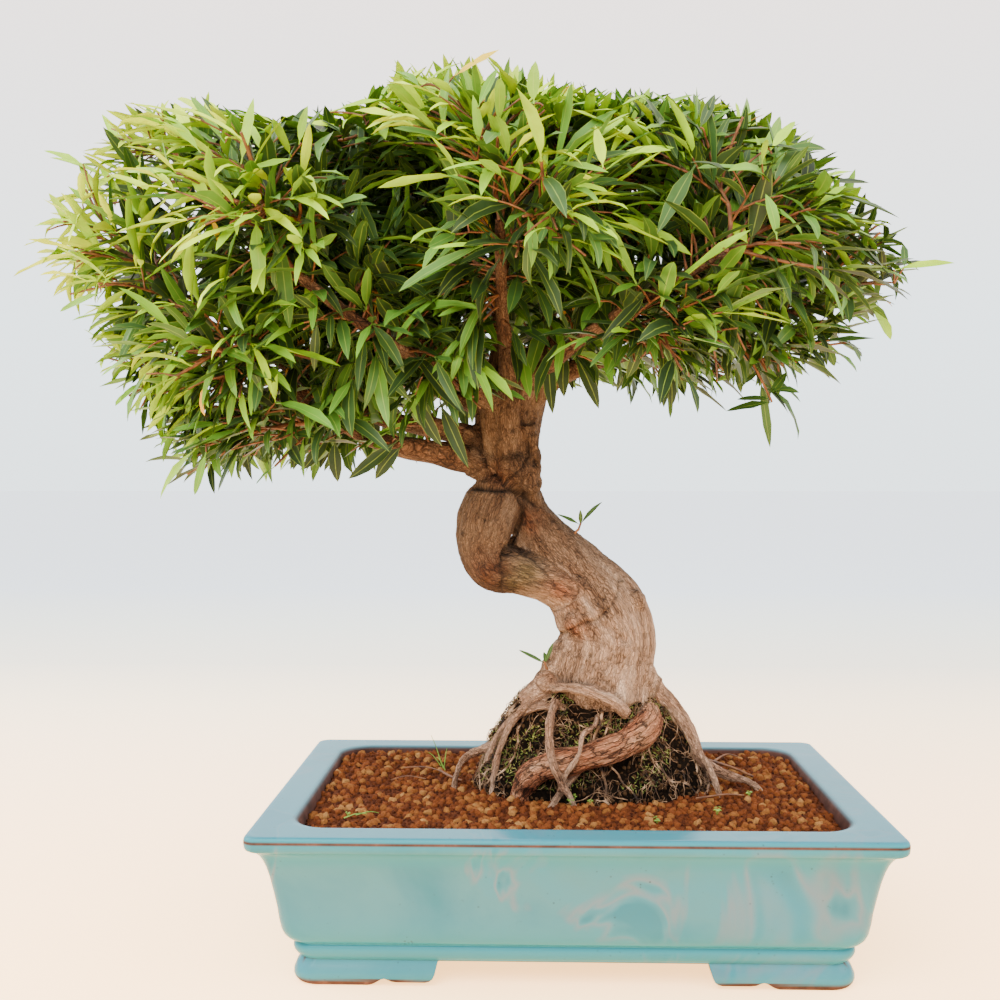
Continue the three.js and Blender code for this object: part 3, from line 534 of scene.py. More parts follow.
run = add("MapRange", {"Value": flow, "From Min": 0.62, "From Max": 0.66, "To Max": 0.6})
ran = add("Math", {0: run, 1: flat}, operation="MULTIPLY")
deeper = add("Mix", {0: ran, 6: thick, 7: shade("#12586c")}, data_type="RGBA")
bloom = add("ValToRGB", {0: flow}, ramp=[(0.56, "#000000"), (0.605, "#8a8a8a"), (0.63, "#000000")])
bloomed = add("Math", {0: bloom, 1: flat}, operation="MULTIPLY")
violet = add("Mix", {0: bloomed, 6: deeper, 7: shade("#8a5f62")}, data_type="RGBA")
specks = add("TexVoronoi", {"Vector": place, "Scale": 260})
speck = add("MapRange", {"Value": specks, "From Min": 0.1, "From Max": 0.22, "To Min": 0.75, "To Max": 0})
blush = add("TexNoise", {"Vector": place, "Scale": 60, "Detail": 4, "Roughness": 0.7})
some = add("MapRange", {"Value": blush, "From Min": 0.55, "From Max": 0.65})
shown = add("Math", {0: speck, 1: some}, operation="MULTIPLY")
speckled = add("Mix", {0: shown, 6: violet, 7: shade("#2c3b42")}, data_type="RGBA")
clayTone = add("ValToRGB", {0: blush}, ramp=[(0.3, "#2c1b16"), (0.6, "#4d3129"), (0.8, "#6d4c3f")])
finish = add("Mix", {0: bare, 6: speckled, 7: clayTone}, data_type="RGBA")
dull = add("MapRange", {"Value": bare, "To Min": 0.2, "To Max": 0.7})
ripple = add("Bump", {"Height": patches, "Strength": 0.25, "Distance": 0.004})
feedShader(glazedStoneware, Base_Color=finish, Roughness=dull, Normal=ripple)

# Polypropylene netting: black, moulded, half matt.
mouldedNetting, add = newMaterial("moulded_black_polypropylene", IOR=1.49, Roughness=0.55)
place = add("TexCoord").outputs["Object"]
dust = add("TexNoise", {"Vector": place, "Scale": 300, "Detail": 4})
tone = add("ValToRGB", {0: dust}, ramp=[(0.35, "#1f2121"), (0.8, "#4a4038")])
feedShader(mouldedNetting, Base_Color=tone)

# Akadama, fired clay granules: porous and dull, each its own red-brown, some sandy or dark.
akadama, add = newMaterial("akadama_clay_granules", IOR=1.45, Roughness=0.95, Specular_IOR_Level=0.1)
place = add("TexCoord").outputs["Object"]
tint = add("Attribute", attribute_name="tint").outputs["Fac"]
tone = add("ValToRGB", {0: tint}, ramp=[(0.0, "#2b140b"), (0.25, "#432213"), (0.55, "#5a2f17"),
                                        (0.8, "#6e3c1d"), (0.95, "#82552a"), (1.0, "#966e40")])
pores = add("TexNoise", {"Vector": place, "Scale": 480, "Detail": 6, "Roughness": 0.75})
worn = add("MapRange", {"Value": pores, "From Min": 0.3, "From Max": 0.7, "To Min": 0.55, "To Max": 1.25})
dusted = add("Mix", {0: 1.0, 6: tone, 7: worn}, data_type="RGBA", blend_type="MULTIPLY")
rough = add("Bump", {"Height": pores, "Strength": 0.9, "Distance": 0.0016})
feedShader(akadama, Base_Color=dusted, Normal=rough)

# Old potting soil: peaty crumbs, almost black where damp, brown where dry.
oldSoil, add = newMaterial("old_peaty_soil", IOR=1.45, Roughness=1.0, Specular_IOR_Level=0.05)
place = add("TexCoord").outputs["Object"]
tint = add("Attribute", attribute_name="tint").outputs["Fac"]
crumbs = add("TexNoise", {"Vector": place, "Scale": 170, "Detail": 8, "Roughness": 0.7})
mixed = add("Math", {0: crumbs, 1: tint}, operation="ADD")
tone = add("ValToRGB", {0: mixed}, ramp=[(0.35, "#060403"), (0.6, "#120d08"), (0.95, "#241a11"),
                                         (1.0, "#3a2a1b")])
rough = add("Bump", {"Height": crumbs, "Strength": 0.8, "Distance": 0.0015})
feedShader(oldSoil, Base_Color=tone, Normal=rough)

# Fig bark: dull tan skin, split every few millimetres by short dark cracks that run along the strand,
# redder on the big root, olive with lichen in places; painted shade darkens it under the crown and in
# creases.
figBark, add = newMaterial("fig_bark", IOR=1.45, Roughness=0.85, Specular_IOR_Level=0.2)
grain = add("Attribute", attribute_name="barkPlace").outputs["Vector"]
marks = {key: add("Attribute", attribute_name=key).outputs["Fac"]
         for key in ("rootness", "crease", "lichen", "shaded")}
broad = add("TexNoise", {"Vector": grain, "Scale": 0.09, "Detail": 5, "Roughness": 0.65})
grit = add("TexNoise", {"Vector": grain, "Scale": 1.1, "Detail": 6, "Roughness": 0.8})
skin = add("ValToRGB", {0: broad}, ramp=[(0.3, "#806048"), (0.45, "#ab8a70"), (0.58, "#c7a88d"),
                                         (0.7, "#dcc1a8")])
rootSkin = add("ValToRGB", {0: broad}, ramp=[(0.3, "#874a2f"), (0.45, "#b67451"), (0.6, "#d29c77"),
                                             (0.75, "#e0ba98")])
base = add("Mix", {0: marks["rootness"], 6: skin, 7: rootSkin}, data_type="RGBA")
mossy = add("Math", {0: marks["lichen"], 1: grit}, operation="MULTIPLY")
greened = add("Mix", {0: mossy, 6: base, 7: shade("#77773a")}, data_type="RGBA")
wander = add("TexNoise", {"Vector": grain, "Scale": 0.3, "Detail": 2})
bent = add("VectorMath", {0: wander.outputs["Color"], 1: (4.0, 4.0, 4.0), 2: grain},
           operation="MULTIPLY_ADD")
cracked = []
for size, wide, least in ((0.46, 0.17, 0.2), (1.05, 0.24, 0.5), (0.21, 0.12, 0.08)):
    cells = add("TexVoronoi", {"Vector": bent, "Scale": size}, feature="DISTANCE_TO_EDGE")
    cracked.append(add("MapRange", {"Value": cells, "From Max": wide, "To Min": least},
                       interpolation_type="SMOOTHSTEP"))
patchy = add("MapRange", {"Value": broad, "From Min": 0.38, "From Max": 0.66, "To Min": 0.0,
                          "To Max": 0.7})
healed = add("Mix", {0: patchy, 2: cracked[0], 3: 1.0})
fine = add("Math", {0: healed, 1: cracked[1]}, operation="MULTIPLY")
# the big root's cracks are wider and bolder
bold = add("Mix", {0: marks["rootness"], 2: 1.0, 3: cracked[2]})
openings = add("Math", {0: fine, 1: bold}, operation="MULTIPLY")
gritty = add("MapRange", {"Value": grit, "From Min": 0.3, "From Max": 0.7, "To Min": 0.72,
                          "To Max": 1.15})
light = add("Math", {0: openings, 1: gritty}, operation="MULTIPLY")
# painted shade: the bark's colour darkens to a fifth deep in creases and pits
closed = add("MapRange", {"Value": marks["crease"], "To Min": 1.0, "To Max": 0.2})
worn = add("Math", {0: light, 1: closed}, operation="MULTIPLY")
barkWithCreaseShade = add("Mix", {0: 1.0, 6: greened, 7: worn}, data_type="RGBA", blend_type="MULTIPLY")
# painted shade under the crown, from the "shaded" attribute
barkWithCrownShade = add("Mix", {0: marks["shaded"], 6: barkWithCreaseShade, 7: shade("#8c857c")}, data_type="RGBA",
             blend_type="MULTIPLY")
relief = add("Bump", {"Height": light, "Strength": 0.9, "Distance": 0.0014})
feedShader(figBark, Base_Color=barkWithCrownShade, Normal=relief)

# Young twigs: smooth, red-brown, half matt.
twigBark, add = newMaterial("red_brown_twig_bark", IOR=1.45, Roughness=0.6)
place = add("TexCoord").outputs["Object"]
mottle = add("TexNoise", {"Vector": place, "Scale": 160, "Detail": 5})
tone = add("ValToRGB", {0: mottle}, ramp=[(0.3, "#3a2110"), (0.5, "#603a1e"), (0.7, "#7f5430")])
feedShader(twigBark, Base_Color=tone)

# Fig leaves: waxy, half glossy, pale midrib and margin, faint side veins; lime when young.
figLeaf, add = newMaterial("waxy_fig_leaf", IOR=1.45, Roughness=0.45, Specular_IOR_Level=0.25)
spread = add("UVMap", uv_map="UVMap")
parts = add("SeparateXYZ", {0: spread})
tint = add("Attribute", attribute_name="tint").outputs["Fac"]
warm = add("Attribute", attribute_name="warm").outputs["Fac"]
place = add("TexCoord").outputs["Object"]
# tint mixes young lime leaves with painted light: lighter high, left and on the crown's rim, darker inside
tone = add("ValToRGB", {0: tint}, ramp=[(0.0, "#182a12"), (0.3, "#2b4a20"), (0.52, "#4f7f26"),
                                        (0.76, "#84b016"), (1.0, "#a3c31a")])
uneven = add("TexNoise", {"Vector": place, "Scale": 55, "Detail": 3})
varied = add("MapRange", {"Value": uneven, "From Min": 0.3, "From Max": 0.7, "To Min": 0.78,
                          "To Max": 1.2})
blade = add("Mix", {0: 1.0, 6: tone, 7: varied}, data_type="RGBA", blend_type="MULTIPLY")
autumn = add("Mix", {0: warm, 6: blade, 7: shade("#c98a1e")}, data_type="RGBA")
# across runs 0 to 1 over the blade, so the distance from its middle gives midrib and margin
middle = add("Math", {0: parts.outputs[1], 1: 0.5}, operation="SUBTRACT")
aside = add("Math", {0: middle}, operation="ABSOLUTE")
rib = add("MapRange", {"Value": aside, "From Min": 0.01, "From Max": 0.045, "To Min": 0.5, "To Max": 0})
margin = add("MapRange", {"Value": aside, "From Min": 0.44, "From Max": 0.5, "To Max": 0.5})
pale = add("Math", {0: rib, 1: margin}, operation="MAXIMUM")
veined = add("Mix", {0: pale, 6: autumn, 7: shade("#87a03c")}, data_type="RGBA")
feedShader(figLeaf, Base_Color=veined)

# Moss and small weeds: soft matt green.
moss, add = newMaterial("moss_and_weeds", IOR=1.45, Roughness=0.7)
place = add("TexCoord").outputs["Object"]
patchy = add("TexNoise", {"Vector": place, "Scale": 120, "Detail": 4})
tone = add("ValToRGB", {0: patchy}, ramp=[(0.3, "#2f3b12"), (0.5, "#5b6a25"), (0.7, "#a3a356")])
feedShader(moss, Base_Color=tone)

# Sprouting weeds and grass: thin, fresh, bright green.
freshGreen, add = newMaterial("fresh_green_sprouts", IOR=1.45, Roughness=0.5)
place = add("TexCoord").outputs["Object"]
patchy = add("TexNoise", {"Vector": place, "Scale": 90, "Detail": 2})
tone = add("ValToRGB", {0: patchy}, ramp=[(0.35, "#3f6b17"), (0.65, "#7fa53a")])
feedShader(freshGreen, Base_Color=tone)

# Fine roots: dry and corky, pale or stained by the soil.
fineRoot, add = newMaterial("dry_fine_roots", IOR=1.45, Roughness=0.85)
place = add("TexCoord").outputs["Object"]
mottle = add("TexNoise", {"Vector": place, "Scale": 140, "Detail": 4})
tone = add("ValToRGB", {0: mottle}, ramp=[(0.38, "#24180f"), (0.52, "#684d35"), (0.7, "#b8997a")])
feedShader(fineRoot, Base_Color=tone)



bark = {
    "voxel": 1.2, "kept": 0.62, "fissure": 0.5, "swell": 0.9, "stretch": 0.3,
    "trunkSteps": 180, "trunkSides": 72, "rootSteps": 64, "rootSides": 18,
    "limbSteps": 56, "limbSides": 12, "collar": 34,
    "flutes": [(3, 9, 0.045), (7, -5, 0.025)],
    "sideStart": (0.9, 0.3, 0.1),
}
rootLines = [([[-10, -8, 168], [-3, -19, 170], [11, -24, 169], [28, -25, 162], [40, -22, 152]], 4.2, 4.6),
             ([[34, 20, 148], [51, 8, 147], [55, -7, 143], [46, -20, 137], [31, -26, 130], [10, -29, 124],
               [-10, -28, 119], [-24, -24, 112], [-32, -17, 99], [-34, -14, 84]], 12.5, 8),
             ([[-9, -12, 160], [-13, -27, 151], [-14, -37, 138], [-12, -42, 124], [-6, -41, 110],
               [1, -38, 98], [5, -34, 84]], 3.3, 2.6), ([[16, -2, 156], [6, -11, 153], [-9, -10, 155],
                                                         [-24, -5, 153], [-38, 2, 145], [-50, 6, 130],
                                                         [-58, 6, 112]], 4, 2.4),
             ([[42, 15, 170], [62, 14, 163], [78, 12, 148], [88, 10, 131], [95, 8, 114], [112, 8, 104],
               [130, 7, 98], [142, 6, 86]], 7, 2.2), ([[20, -14, 152], [17, -28, 146], [9, -36, 141],
                                                       [6, -42, 130], [-3, -41, 114], [-8, -37, 102]],
                                                      2.2, 1.7),
             ([[6, -27, 117], [-4, -31, 104], [-16, -34, 86]], 4, 2.4),
             ([[90, 10, 124], [100, -2, 108], [108, -12, 86]], 3, 2),
             ([[4, 16, 154], [-30, 16, 132], [-60, 10, 121], [-74, 9, 114], [-80, 8, 100], [-82, 8, 84]],
              3.4, 2.4), ([[-4, 2, 162], [-20, -3, 160], [-32, -3, 152], [-42, -3, 138], [-50, -4, 118],
                           [-54, -7, 88]], 3.6, 2.2),]
rootsBehind = [1, 2, 3, 5, 6, 9]
ballMiddle = np.array([17.0, 25.0])


def ringFrames(curve, steps):
    # centres and two directions across the curve at each step, carried along without twist
    place = np.arange(steps + 1) / steps
    centres = pointOn(curve, place)
    side, frames = np.array(bark["sideStart"]), []
    for spot in place:
        along = alongOf(curve, spot)
        side = unit(side - along * (side @ along))
        frames.append((side, np.cross(along, side)))
    return place, centres, frames


def tubeMesh(curve, radiusAt, steps, sides):
    # a closed tube, its ends drawn together to a point
    place, centres, frames = ringFrames(curve, steps)
    angle = np.arange(sides) / sides * 2 * math.pi
    rings = []
    for spot, centre, (side, across) in zip(place, centres, frames):
        out = np.cos(angle)[:, None] * side + np.sin(angle)[:, None] * across
        rings.append(centre + out * radiusAt(spot, angle)[:, None])
    return skinRings(rings)


def skinRings(rings):
    # quads between rings of equally many points, a fan over each end
    sides, count = len(rings[0]), len(rings)
    points = np.vstack(rings + [rings[0].mean(0)[None], rings[-1].mean(0)[None]])
    faces = []
    for row in range(count - 1):
        low = row * sides
        faces += [(low + i, low + (i + 1) % sides, low + sides + (i + 1) % sides, low + sides + i)
                  for i in range(sides)]
    first, last = count * sides, (count - 1) * sides
    faces += [(first, (i + 1) % sides, i) for i in range(sides)]
    faces += [(first + 1, last + i, last + (i + 1) % sides) for i in range(sides)]
    return points, faces


def joinedMeshes(parts):
    points, faces, first = [], [], 0
    for vertices, polygons in parts:
        points.append(vertices)
        faces += [tuple(first + i for i in face) for face in polygons]
        first += len(vertices)
    return np.vstack(points), faces


def flutedRadius(line):
    radii = [row[3] for row in line]

    def radiusAt(place, angle):
        swell = sum(depth * np.sin(count * angle + twist * place) for count, twist, depth in bark["flutes"])
        return np.interp(place * (len(radii) - 1), range(len(radii)), radii) * (1 + swell)
    return radiusAt


def taperedRadius(first, last, seed=0):
    def radiusAt(place, angle):
        lumps = 0.07 * np.sin(angle * 2 + place * 11 + seed) + 0.05 * np.sin(place * 37 + seed * 3)
        return (first + (last - first) * place) * (1 + lumps)
    return radiusAt


def allRootLines():
    turned = [([[2 * ballMiddle[0] - x, 2 * ballMiddle[1] - y, z] for x, y, z in rootLines[i][0]],
               *rootLines[i][1:]) for i in rootsBehind]
    return rootLines + turned


def strandSamples():
    # places along every strand, root and limb collar, for finding the nearest one
    rows = []
    lines = [(line, flutedRadius(line), 1.0) for line in (trunkShape, loopShape)]
    lines += [(line, taperedRadius(first, last, i), 1.0) for i,
              (line, first, last) in enumerate(allRootLines())]
    lines += [(line, taperedRadius(first, last, i), 0.3) for i, (line, first, last) in enumerate(limbLines)]
    for number, (line, radiusAt, most) in enumerate(lines):
        curve = curveOf(line)
        steps = max(12, int(lengthOf(curve) * most / 2.5))
        place, centres, frames = ringFrames(curve, steps)
        length = lengthOf(curve)
        for spot, centre, (side, across) in zip(place * most, pointOn(curve, place * most), frames):
            radius = radiusAt(spot, np.zeros(1))[0]
            rows.append((*centre, radius, *side, *across, spot * length, number))
    return np.array(rows)


def strandPlace(points, samples):
    # each point's nearest strand: its place across and along it, and how far it is from the surface
    nearest = np.empty(len(points), int)
    for first in range(0, len(points), 8000):
        chunk = points[first:first + 8000]
        apart = norm(chunk[:, None] - samples[None, :, :3], axis=2) - samples[None, :, 3]
        nearest[first:first + 8000] = apart.argmin(1)
    row = samples[nearest]
    offset = points - row[:, :3]
    across = np.stack([(offset * row[:, 4:7]).sum(1), (offset * row[:, 7:10]).sum(1)], 1)
    return across, row[:, 10], row[:, 11]


# the strands as they look, a little fuller than the solids where they press together
trunkShape = [
    [22, 17, 144, 27], [22, 16, 163, 38], [26, 15, 184, 34], [28, 15, 203, 33], [19, 15, 223, 32],
    [3, 16, 246, 25], [-14, 18, 266, 20], [-27, 19, 286, 16.5], [-34, 17, 303, 15], [-39, 15, 320, 19],
    [-42, 15, 338, 22], [-43, 15, 356, 24], [-41, 15, 374, 25], [-40, 15, 386, 22],
]
loopShape = [
    [14, 7, 230, 20], [-12, 4, 240, 15], [-36, 1, 247.5, 15.8], [-53, 0, 251, 16.5],
    [-60, 0, 265, 17.5], [-58, 0, 282, 20.5], [-53, 3, 297, 20], [-45, 10, 311, 14],
]
# swellings: middle and radius
burls = [
    (-27, 4, 311, 9), (-60, 10, 342, 7), (-22, 8, 372, 8), (-57, -10, 251, 9), (-38, -3, 322, 11),
    (36, -8, 196, 11), (47, 2, 228, 8), (4, -10, 214, 8), (-38, 15, 264, 9), (-29, 18, 257, 10),
]
# ridges: where the base spreads into roots, and down the knot's right side
buttresses = [
    ([[14, 8, 206], [0, 4, 188], [-12, 1, 174], [-22, 0, 165], [-33, 2, 157]], 17, 5),
    ([[30, 12, 200], [46, 10, 184], [58, 12, 168], [68, 13, 154]], 15, 6),
    ([[24, 0, 190], [20, -10, 174], [14, -13, 160]], 15, 9),
    ([[30, 30, 190], [42, 46, 172], [52, 60, 154]], 16, 7),
    ([[16, 30, 190], [4, 46, 172], [-8, 58, 154]], 16, 7),
    ([[-29, -2, 352], [-27, 0, 338], [-26, 1, 324], [-27, 4, 308]], 6, 7.5),
]
# folds where strands press together: depth, width, and the way they take in the photo's frame
creases = [
    (4.0, 2.6, [(474, 486), (484, 487), (500, 488), (514, 489), (520, 494), (527, 499), (535, 504)]),
    (2.6, 2.0, [(519, 495), (522, 508), (521, 520), (515, 533), (508, 545), (503, 556)]),
    (2.2, 1.5, [(553, 634), (566, 633), (575, 629), (585, 623), (597, 620), (606, 612)]),
    (1.6, 1.2, [(606, 612), (614, 602), (619, 590), (619, 578)]),
    (2.6, 1.8, [(476, 410), (479, 430), (481, 448), (487, 465), (497, 475), (506, 484)]),
    (0.9, 1.2, [(585, 623), (600, 624), (612, 629), (630, 643), (645, 662)]),
    (2.2, 1.6, [(527, 443), (528, 455), (523, 468), (512, 478), (503, 482)]),
    (1.8, 1.5, [(503, 556), (500, 566), (503, 576), (500, 589)]),
    (1.6, 1.8, [(513, 543), (522, 551), (534, 559), (545, 569), (553, 582)]),
    (3.0, 3.0, [(553, 626), (560, 636)]),
    (1.2, 1.4, [(490, 400), (494, 420), (499, 436), (493, 450)]),
    (1.3, 1.5, [(600, 676), (612, 688), (626, 704)]),
    (1.3, 1.5, [(548, 688), (560, 684), (574, 688)]),
    (1.0, 1.3, [(640, 610), (646, 630), (644, 655)]),
]
# pits, stubs of dead twigs (below 0), and stains of red inner bark and of lichen:
# place in the photo's frame and size
pits = [(540, 446, 2.2), (535, 462, 2.5), (541, 484, 2.4), (508, 405, 1.6), (513, 431, 1.6),
        (528, 412, 1.5), (484, 520, 1.5), (557, 512, 1.4), (580, 575, 1.6), (604, 600, 1.5),
        (590, 655, 1.6), (506, 551, 3.2), (511, 541, 1.8), (463, 534, -2.0), (541, 445, -1.8),
        (637, 592, -1.8), (622, 582, -1.5), (543, 490, -1.5)]
stains = {
    "red": [(488, 572, 14), (560, 590, 12), (530, 520, 9), (575, 630, 8), (500, 475, 9)],
    "lichen": [(526, 572, 12), (513, 582, 8)],
}


def surfaceSpots(surface, places):
    # where rays through places in the photo's frame meet a piece
    right, above, ahead = cameraAxes()
    eye, spots = Vector(camera["at"]), []
    for x, y in places:
        ray = ahead + (right * (x - 500) + above * (500 - y)) / camera["focal"]
        found = surface.ray_cast(eye, Vector(ray))[0]
        if found:
            spots.append(np.array(found))
    return spots


def gapTo(points, spots):
    gap = np.full(len(points), 1e3)
    for spot in spots:
        gap = np.minimum(gap, norm(points - spot, axis=1))
    return gap


def limbSwell(number):
    # the two lowest limbs are pressed together, a little fuller than their solids
    return 1.28 if number < 2 else 1.04


def shadeOf(points, number):
    # painted shade: the crown's shade darkens the loop and the trunk above it, more the higher, the loop also
    # leftward
    high = points[:, 2]
    loop = np.clip(np.maximum((high - 222) / 45, (-24 - points[:, 0]) / 20), 0.25, 0.95)
    return np.where(number == 1, loop, np.clip((high - 200) / 95, 0, 0.95))


def trunkTubes(roots):
    # every strand, swelling, root and limb's collar as a closed tube
    parts = [tubeMesh(curveOf(line), flutedRadius(line), bark["trunkSteps"], bark["trunkSides"])
             for line in (trunkShape, loopShape)]
    for x, y, z, radius in burls:
        line = [[x, y, z - radius], [x, y, z], [x, y, z + radius]]
        parts.append(tubeMesh(curveOf(line), lambda place, angle, r=radius: np.full(
            len(angle), r * math.sqrt(max(0.03, 1 - (2 * place - 1) ** 2))), 16, 24))
    for i, (line, first, last) in enumerate(roots + buttresses):
        parts.append(tubeMesh(curveOf(line), taperedRadius(first, last, i), bark["rootSteps"],
                              bark["rootSides"]))
    for i, (line, first, last) in enumerate(limbLines):
        curve, length = curveOf(line), lengthOf(curveOf(line))
        short = curveOf(pointOn(curve, np.linspace(0, bark["collar"] / length, 5)))
        parts.append(tubeMesh(short, taperedRadius(first * 1.7, first * limbSwell(i), i), 16, 24))
    return parts


def barkDepth(points, place):
    # broad swellings and plates, and fissures along the strand
    depth = np.empty(len(points))
    for i, (x, y, z) in enumerate(place):
        ridge = abs(noise.noise(Vector((x * 0.17, y * 0.17, z * 0.17))))
        fine = abs(noise.noise(Vector((x * 0.42 + 9, y * 0.42, z * 0.42))))
        swell = noise.noise(Vector(points[i] * 0.045))
        plates = noise.noise(Vector(points[i] * 0.11))
        depth[i] = bark["swell"] * (swell + 0.6 * plates)
        depth[i] -= bark["fissure"] * (1 - min(1, ridge * 5)) + 0.4 * (1 - min(1, fine * 4))
    return depth


def nearPlaces(points, surface, places, reach):
    # 1 at places in the photo's frame, less around them
    return np.exp(-(gapTo(points, surfaceSpots(surface, places)) / reach) ** 2)


def foldBark(points, surface, depth):
    # sinks creases and pits in, and gives how much painted shade darkens each point in them
    folded = np.zeros(len(points))
    for deep, width, way in creases:
        steps = np.linspace(0, len(way) - 1, len(way) * 8)
        way = np.column_stack([np.interp(steps, range(len(way)), axis) for axis in zip(*way)])
        fold = nearPlaces(points, surface, way, width)
        depth -= deep * fold
        folded = np.maximum(folded, fold ** 2.5 * min(1, deep / 2.5))
    for x, y, size in pits:
        pit = nearPlaces(points, surface, [(x, y)], size)
        depth -= size * pit
        folded = np.maximum(folded, pit)
    return folded


def makeTrunk():
    roots = allRootLines()
    piece = placeMesh("trunk_and_roots", *joinedMeshes(trunkTubes(roots)))
    remesh = piece.modifiers.new("fuse", "REMESH")
    remesh.mode = "VOXEL"
    remesh.voxel_size = bark["voxel"] * mm
    soften = piece.modifiers.new("soften", "SMOOTH")
    soften.factor = 0.5
    soften.iterations = 5
    applyModifiers(piece)
    mesh = piece.data
    points, normals = pointsOf(mesh)
    surface = BVHTree.FromPolygons([Vector(p) for p in points], [tuple(p.vertices) for p in mesh.polygons])
    across, along, number = strandPlace(points, strandSamples())
    place = np.column_stack([across, along * bark["stretch"] + number * 40])
    depth = barkDepth(points, place)
    folded = foldBark(points, surface, depth)
    mark = {key: np.max([nearPlaces(points, surface, [(x, y)], size) for x, y, size in spots], 0)
            for key, spots in stains.items()}
    points += normals * depth[:, None]
    mesh.vertices.foreach_set("co", inMetres(points).ravel())
    keepOn(mesh, "barkPlace", place, "FLOAT_VECTOR")
    bigRoot = (number == 3) | (number == 2 + len(rootLines))
    redness = np.where(bigRoot, 1.0, np.where((number < 2) | (number >= 2 + len(roots)), 0.0, 0.2))
    for key, values in (("rootness", np.maximum(redness, mark["red"] * 0.8)), ("crease", folded),
                        ("lichen", mark["lichen"]), ("shaded", shadeOf(points, number))):
        keepOn(mesh, key, values)
    mesh.polygons.foreach_set("use_smooth", [True] * len(mesh.polygons))
    mesh.update()
    thinned = piece.modifiers.new("thinned", "DECIMATE")
    thinned.ratio = bark["kept"]
    applyModifiers(piece)
    finishPiece(piece, "bark", "tree", material=figBark)


def makeLimbs():
    parts, places = [], []
    for i, (line, first, last) in enumerate(limbLines):
        curve = curveOf(line)
        points, faces = tubeMesh(curve, taperedRadius(first * limbSwell(i), last, i), bark["limbSteps"],
                                 bark["limbSides"])
        sides = bark["limbSides"]
        rows = np.repeat(np.arange(bark["limbSteps"] + 1), sides) * lengthOf(curve) / bark["limbSteps"]
        rows = np.append(rows, [0, lengthOf(curve)])
        centre = np.repeat(pointOn(curve, np.linspace(0, 1, bark["limbSteps"] + 1)), sides, 0)
        centre = np.vstack([centre, points[-2:]])
        parts.append((points, faces))
        places.append(np.column_stack([(points - centre)[:, 0], (points - centre)[:, 1] + i * 30,
                                       rows * bark["stretch"]]))
    piece = placeMesh("limbs", *joinedMeshes(parts))
    keepOn(piece.data, "barkPlace", np.vstack(places), "FLOAT_VECTOR")
    # painted shade: the limbs stand under the crown and get its darker skin
    for key, value in (("rootness", 0.3), ("shaded", 0.9)):
        keepOn(piece.data, key, np.full(len(piece.data.vertices), value))
    finishPiece(piece, "bark", "tree", material=figBark)


pot = {
    # height, half length: underside, moulded band, groove, body, rim
    "outside": [(15, 168), (15, 170), (15.3, 171.4), (16.4, 172.8), (18, 174.1), (20, 175.1), (22, 175.6),
                (23.6, 175.5), (24.8, 175), (25.6, 174.3), (26.2, 174.3), (26.8, 175.4), (27.6, 177),
                (29, 178.4), (32, 180.1), (36, 181.5), (43, 182.7), (50, 183.5), (60, 185.2), (70, 187.1),
                (77, 188.9), (82, 190.7), (85.4, 192.5), (87.6, 194.3), (88.8, 196), (89.6, 197.8),
                (90.6, 199.1), (92, 199.8), (94, 200), (94.7, 200), (95.2, 200), (95.7, 200), (96.2, 200),
                (96.8, 200), (97.3, 199.9), (98, 199.7),
                (98.7, 199.3), (99.3, 198.5), (99.5, 197.5), (99.5, 195.8)],
    "inside": [(99.5, 180.2), (99.5, 178.5), (99.3, 176.8), (98.6, 175.2), (97.4, 174.1), (95, 173.5),
               (85, 172.4), (60, 170), (45, 167.6), (30, 165),
               (26.5, 162.6), (24.6, 160), (24, 157), (24, 150)],
    "corner": [(0, 14), (16, 14), (26, 14), (32, 11), (60, 9.5), (82, 8.5), (89, 8), (99.5, 8)],
    "insideCorner": 24, "cornerSteps": 12, "depthLess": 64.5,
    "footOutside": [(-0.01, 172.6), (0.6, 173.4), (2.5, 174.6), (5, 175.4), (8, 175.2),
                    (12, 173.6), (16.4, 170.8)],
    "footWall": 15, "drainAt": 85, "drainRadius": 13, "screenBars": 13,
    "edgeSoftness": 0.9,
    # bare clay: lines on the rim's edge and inside it, the inside, under the floor and under the feet
    "edgeLine": {"at": 96, "reach": 1.0, "beyond": 196},
    "innerLine": {"above": 97.6, "over": 0.6, "within": 176.9, "across": 0.8},
    "bareInside": {"within": 176.5, "from": 20, "to": 98.3, "wall": 6},
    "bareUnder": {"within": 168.5, "below": 16},
    "bareFoot": {"below": 0.9, "over": 0.5, "facing": -0.3, "band": 15.4},
    # where the glaze is thick: height, reach and depth
    "pools": [(26, 5, 0.9), (85, 5, 0.7), (97, 4, 1.0), (17, 4, 0.6), (34, 12, 0.35), (6, 5, 0.6)],
}
# the underside of the foot band, from the gap in the middle of a side out to its corner
frontFoot = [(83.6, 15.1), (84, 14.4), (84.6, 12), (85.6, 8), (87, 5), (89, 3.3), (91.5, 2.6), (100, 2.6),
             (109, 2.6), (112.5, 3.1), (115, 4.4), (117, 5.1), (119, 4.6), (121.5, 2.9), (124, 1.3),
             (126.5, 0.3), (129, -0.6)]
sideFoot = [(57.6, 15.1), (58, 14.4), (58.5, 12), (59.4, 8), (60.6, 5), (62.2, 3.3), (64, 2.6), (70, 2.6),
            (74.5, 2.7), (77, 3.4), (79, 4.7), (80.4, 5), (82, 4), (84, 2), (86, 0.5), (88, -0.6)]


def roundedRing(halfX, halfY, radius, height, steps):
    ring = []
    for quarter, (sx, sy) in enumerate([(1, 1), (-1, 1), (-1, -1), (1, -1)]):
        for i in range(steps + 1):
            angle = (quarter + i / steps) * math.pi / 2
            ring.append((sx * (halfX - radius) + radius * math.cos(angle),
                         sy * (halfY - radius) + radius * math.sin(angle), height))
    return np.array(ring)


def potRing(half, height, corner):
    return roundedRing(half, half - pot["depthLess"], corner, height, pot["cornerSteps"])


